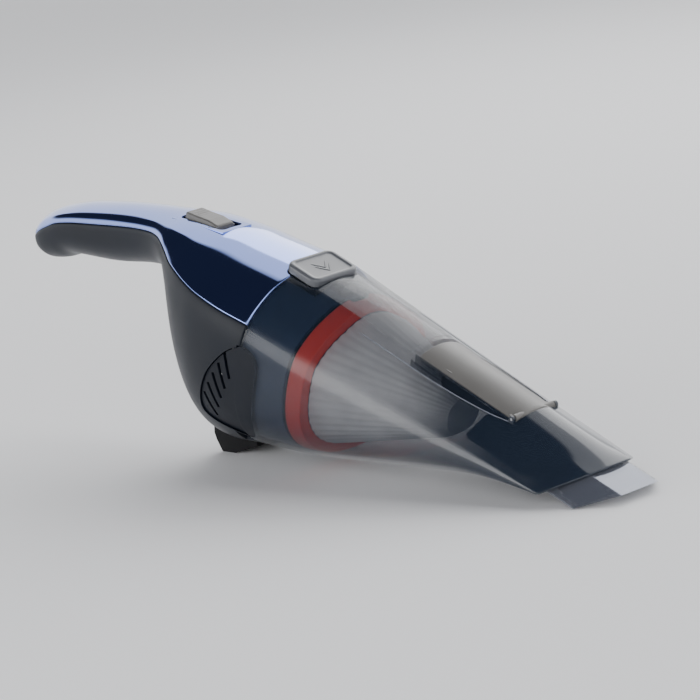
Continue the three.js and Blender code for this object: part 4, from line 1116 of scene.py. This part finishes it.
# ---------------------------------------------------------------- CAD nodes that stay as they are
PLAIN = {
    "crevice_nozzle": ("clear_grey", 0.35), "inlet_duct": ("smoked_clear", 0.2),
    "inlet_flap": ("rubber_black", 0.2), "rear_foot": ("rubber_black", 0.5),
    "charging_socket": ("black_plastic", 0.2), "brush_pin": ("steel", 0.15),
    "motor": ("steel", 0.4), "motor_shaft": ("steel", 0.15), "motor_gasket": ("rubber_black", 0.2),
    "motor_bracket": ("mid_grey", 0.3), "fan_shroud": ("housing_navy", 0.3), "impeller": ("mid_grey", 0.1),
    "battery_cell_1": ("cell_sleeve", 0.4), "battery_cell_2": ("cell_sleeve", 0.4),
    "circuit_board": ("board_green", 0.1), "micro_switch": ("black_plastic", 0.2),
    "wire_red": ("wire_red", 0), "wire_black": ("wire_black", 0),
    "release_spring": ("steel", 0), "filter_frame": ("mid_grey", 0.1),
}
PLAIN.update({f"housing_screw_{i}": ("steel", 0.15) for i in range(1, 5)})
PLAIN.update({f"motor_screw_{i}": ("steel", 0.15) for i in range(1, 3)})
for name, (slot, width) in PLAIN.items():
    node = nodes[name]
    node.data.materials.clear()
    node.data.materials.append(SLOTS[slot])
    shade(node, 35)
    if width:
        soften(node, width, 2)

# ---------------------------------------------------------------- floor, light and camera
floor_mesh = bpy.data.meshes.new("floor")
floor_mesh.from_pydata([(-9, -9, 0), (9, -9, 0), (9, 9, 0), (-9, 9, 0)], [], [(0, 1, 2, 3)])
floor = bpy.data.objects.new("floor", floor_mesh)
floor.location.z = -0.0002
bpy.context.scene.collection.objects.link(floor)
floor_look = bpy.data.materials.new("floor_paper")
floor_look.use_nodes = True
floor_shader = floor_look.node_tree.nodes["Principled BSDF"]
floor_shader.inputs["Base Color"].default_value = (0.93, 0.93, 0.94, 1)
floor_shader.inputs["Roughness"].default_value = 0.85
floor_mesh.materials.append(floor_look)

world = bpy.data.worlds.new("studio")
bpy.context.scene.world = world
world.use_nodes = True
sky = world.node_tree
background = sky.nodes["Background"]
direction = sky.nodes.new("ShaderNodeTexCoord")
split = sky.nodes.new("ShaderNodeSeparateXYZ")
sky.links.new(direction.outputs["Generated"], split.inputs["Vector"])


def sky_range(axis, low, high):
    """One component of the direction, mapped from low..high to 0..1."""
    made = sky.nodes.new("ShaderNodeMapRange")
    made.inputs["From Min"].default_value, made.inputs["From Max"].default_value = low, high
    sky.links.new(split.outputs[axis], made.inputs["Value"])
    return made


high = sky_range("Z", 0.3, 0.42)
high.interpolation_type = "SMOOTHSTEP"
across = sky.nodes.new("ShaderNodeValToRGB")
shades = across.color_ramp.elements
shades[0].position, shades[0].color = 0.1, (0, 0, 0, 1)
shades[1].position, shades[1].color = 0.14, (1, 1, 1, 1)
for position, level in ((0.57, 1), (0.61, 0)):
    shades.new(position).color = (level, level, level, 1)
half_y = sky_range("Y", -1, 1)
sky.links.new(half_y.outputs["Result"], across.inputs["Fac"])
patch = sky.nodes.new("ShaderNodeMath")
patch.operation = "MULTIPLY"
sky.links.new(high.outputs["Result"], patch.inputs[0])
sky.links.new(across.outputs["Color"], patch.inputs[1])
tone = sky.nodes.new("ShaderNodeMix")
tone.data_type = "RGBA"
tone.inputs["A"].default_value, tone.inputs["B"].default_value = (0.97, 0.98, 1, 1), (0.02, 0.022, 0.03, 1)
sky.links.new(patch.outputs["Value"], tone.inputs["Factor"])
sky.links.new(tone.outputs["Result"], background.inputs["Color"])
background.inputs["Strength"].default_value = 1.55

TARGET = Vector((JUNCTION[0], 0, JUNCTION[1])) * MM


def softbox(name, direction, distance, width, height, power):
    light = bpy.data.lights.new(name, "AREA")
    light.shape, light.size, light.size_y, light.energy = "RECTANGLE", width, height, power
    obj = bpy.data.objects.new(name, light)
    towards = Vector(direction).normalized()
    obj.location = TARGET + towards * distance
    obj.rotation_mode = "QUATERNION"
    obj.rotation_quaternion = (-towards).to_track_quat("-Z", "Y")
    bpy.context.scene.collection.objects.link(obj)


softbox("key", (-0.2, 0.8, 0.6), 1.5, 1.7, 1.0, 12)
softbox("front", (0.7, -0.6, 0.45), 1.7, 1.2, 0.8, 6)
softbox("side", (-0.55, -0.85, 0.2), 1.7, 0.9, 0.5, 4)

CAM_RIGHT = Vector((0.638, 0.754, -0.155))
CAM_UP = Vector((-0.062, 0.251, 0.966))
CAM_BACK = Vector((0.767, -0.607, 0.207))
CAM_DISTANCE = 1.8
camera_data = bpy.data.cameras.new("camera")
camera_data.lens, camera_data.sensor_width = 181.44, 36.0
camera_data.clip_start, camera_data.clip_end = 0.05, 60
camera = bpy.data.objects.new("camera", camera_data)
bpy.context.scene.collection.objects.link(camera)
aim = TARGET + (CAM_RIGHT * 23.5 + CAM_UP * 2.8) * MM
back = CAM_BACK.normalized()
right = CAM_UP.cross(back).normalized()
up = back.cross(right)
turn = Matrix((right, up, back)).transposed().to_4x4()
camera.matrix_world = Matrix.Translation(aim + back * CAM_DISTANCE) @ turn
bpy.context.scene.camera = camera
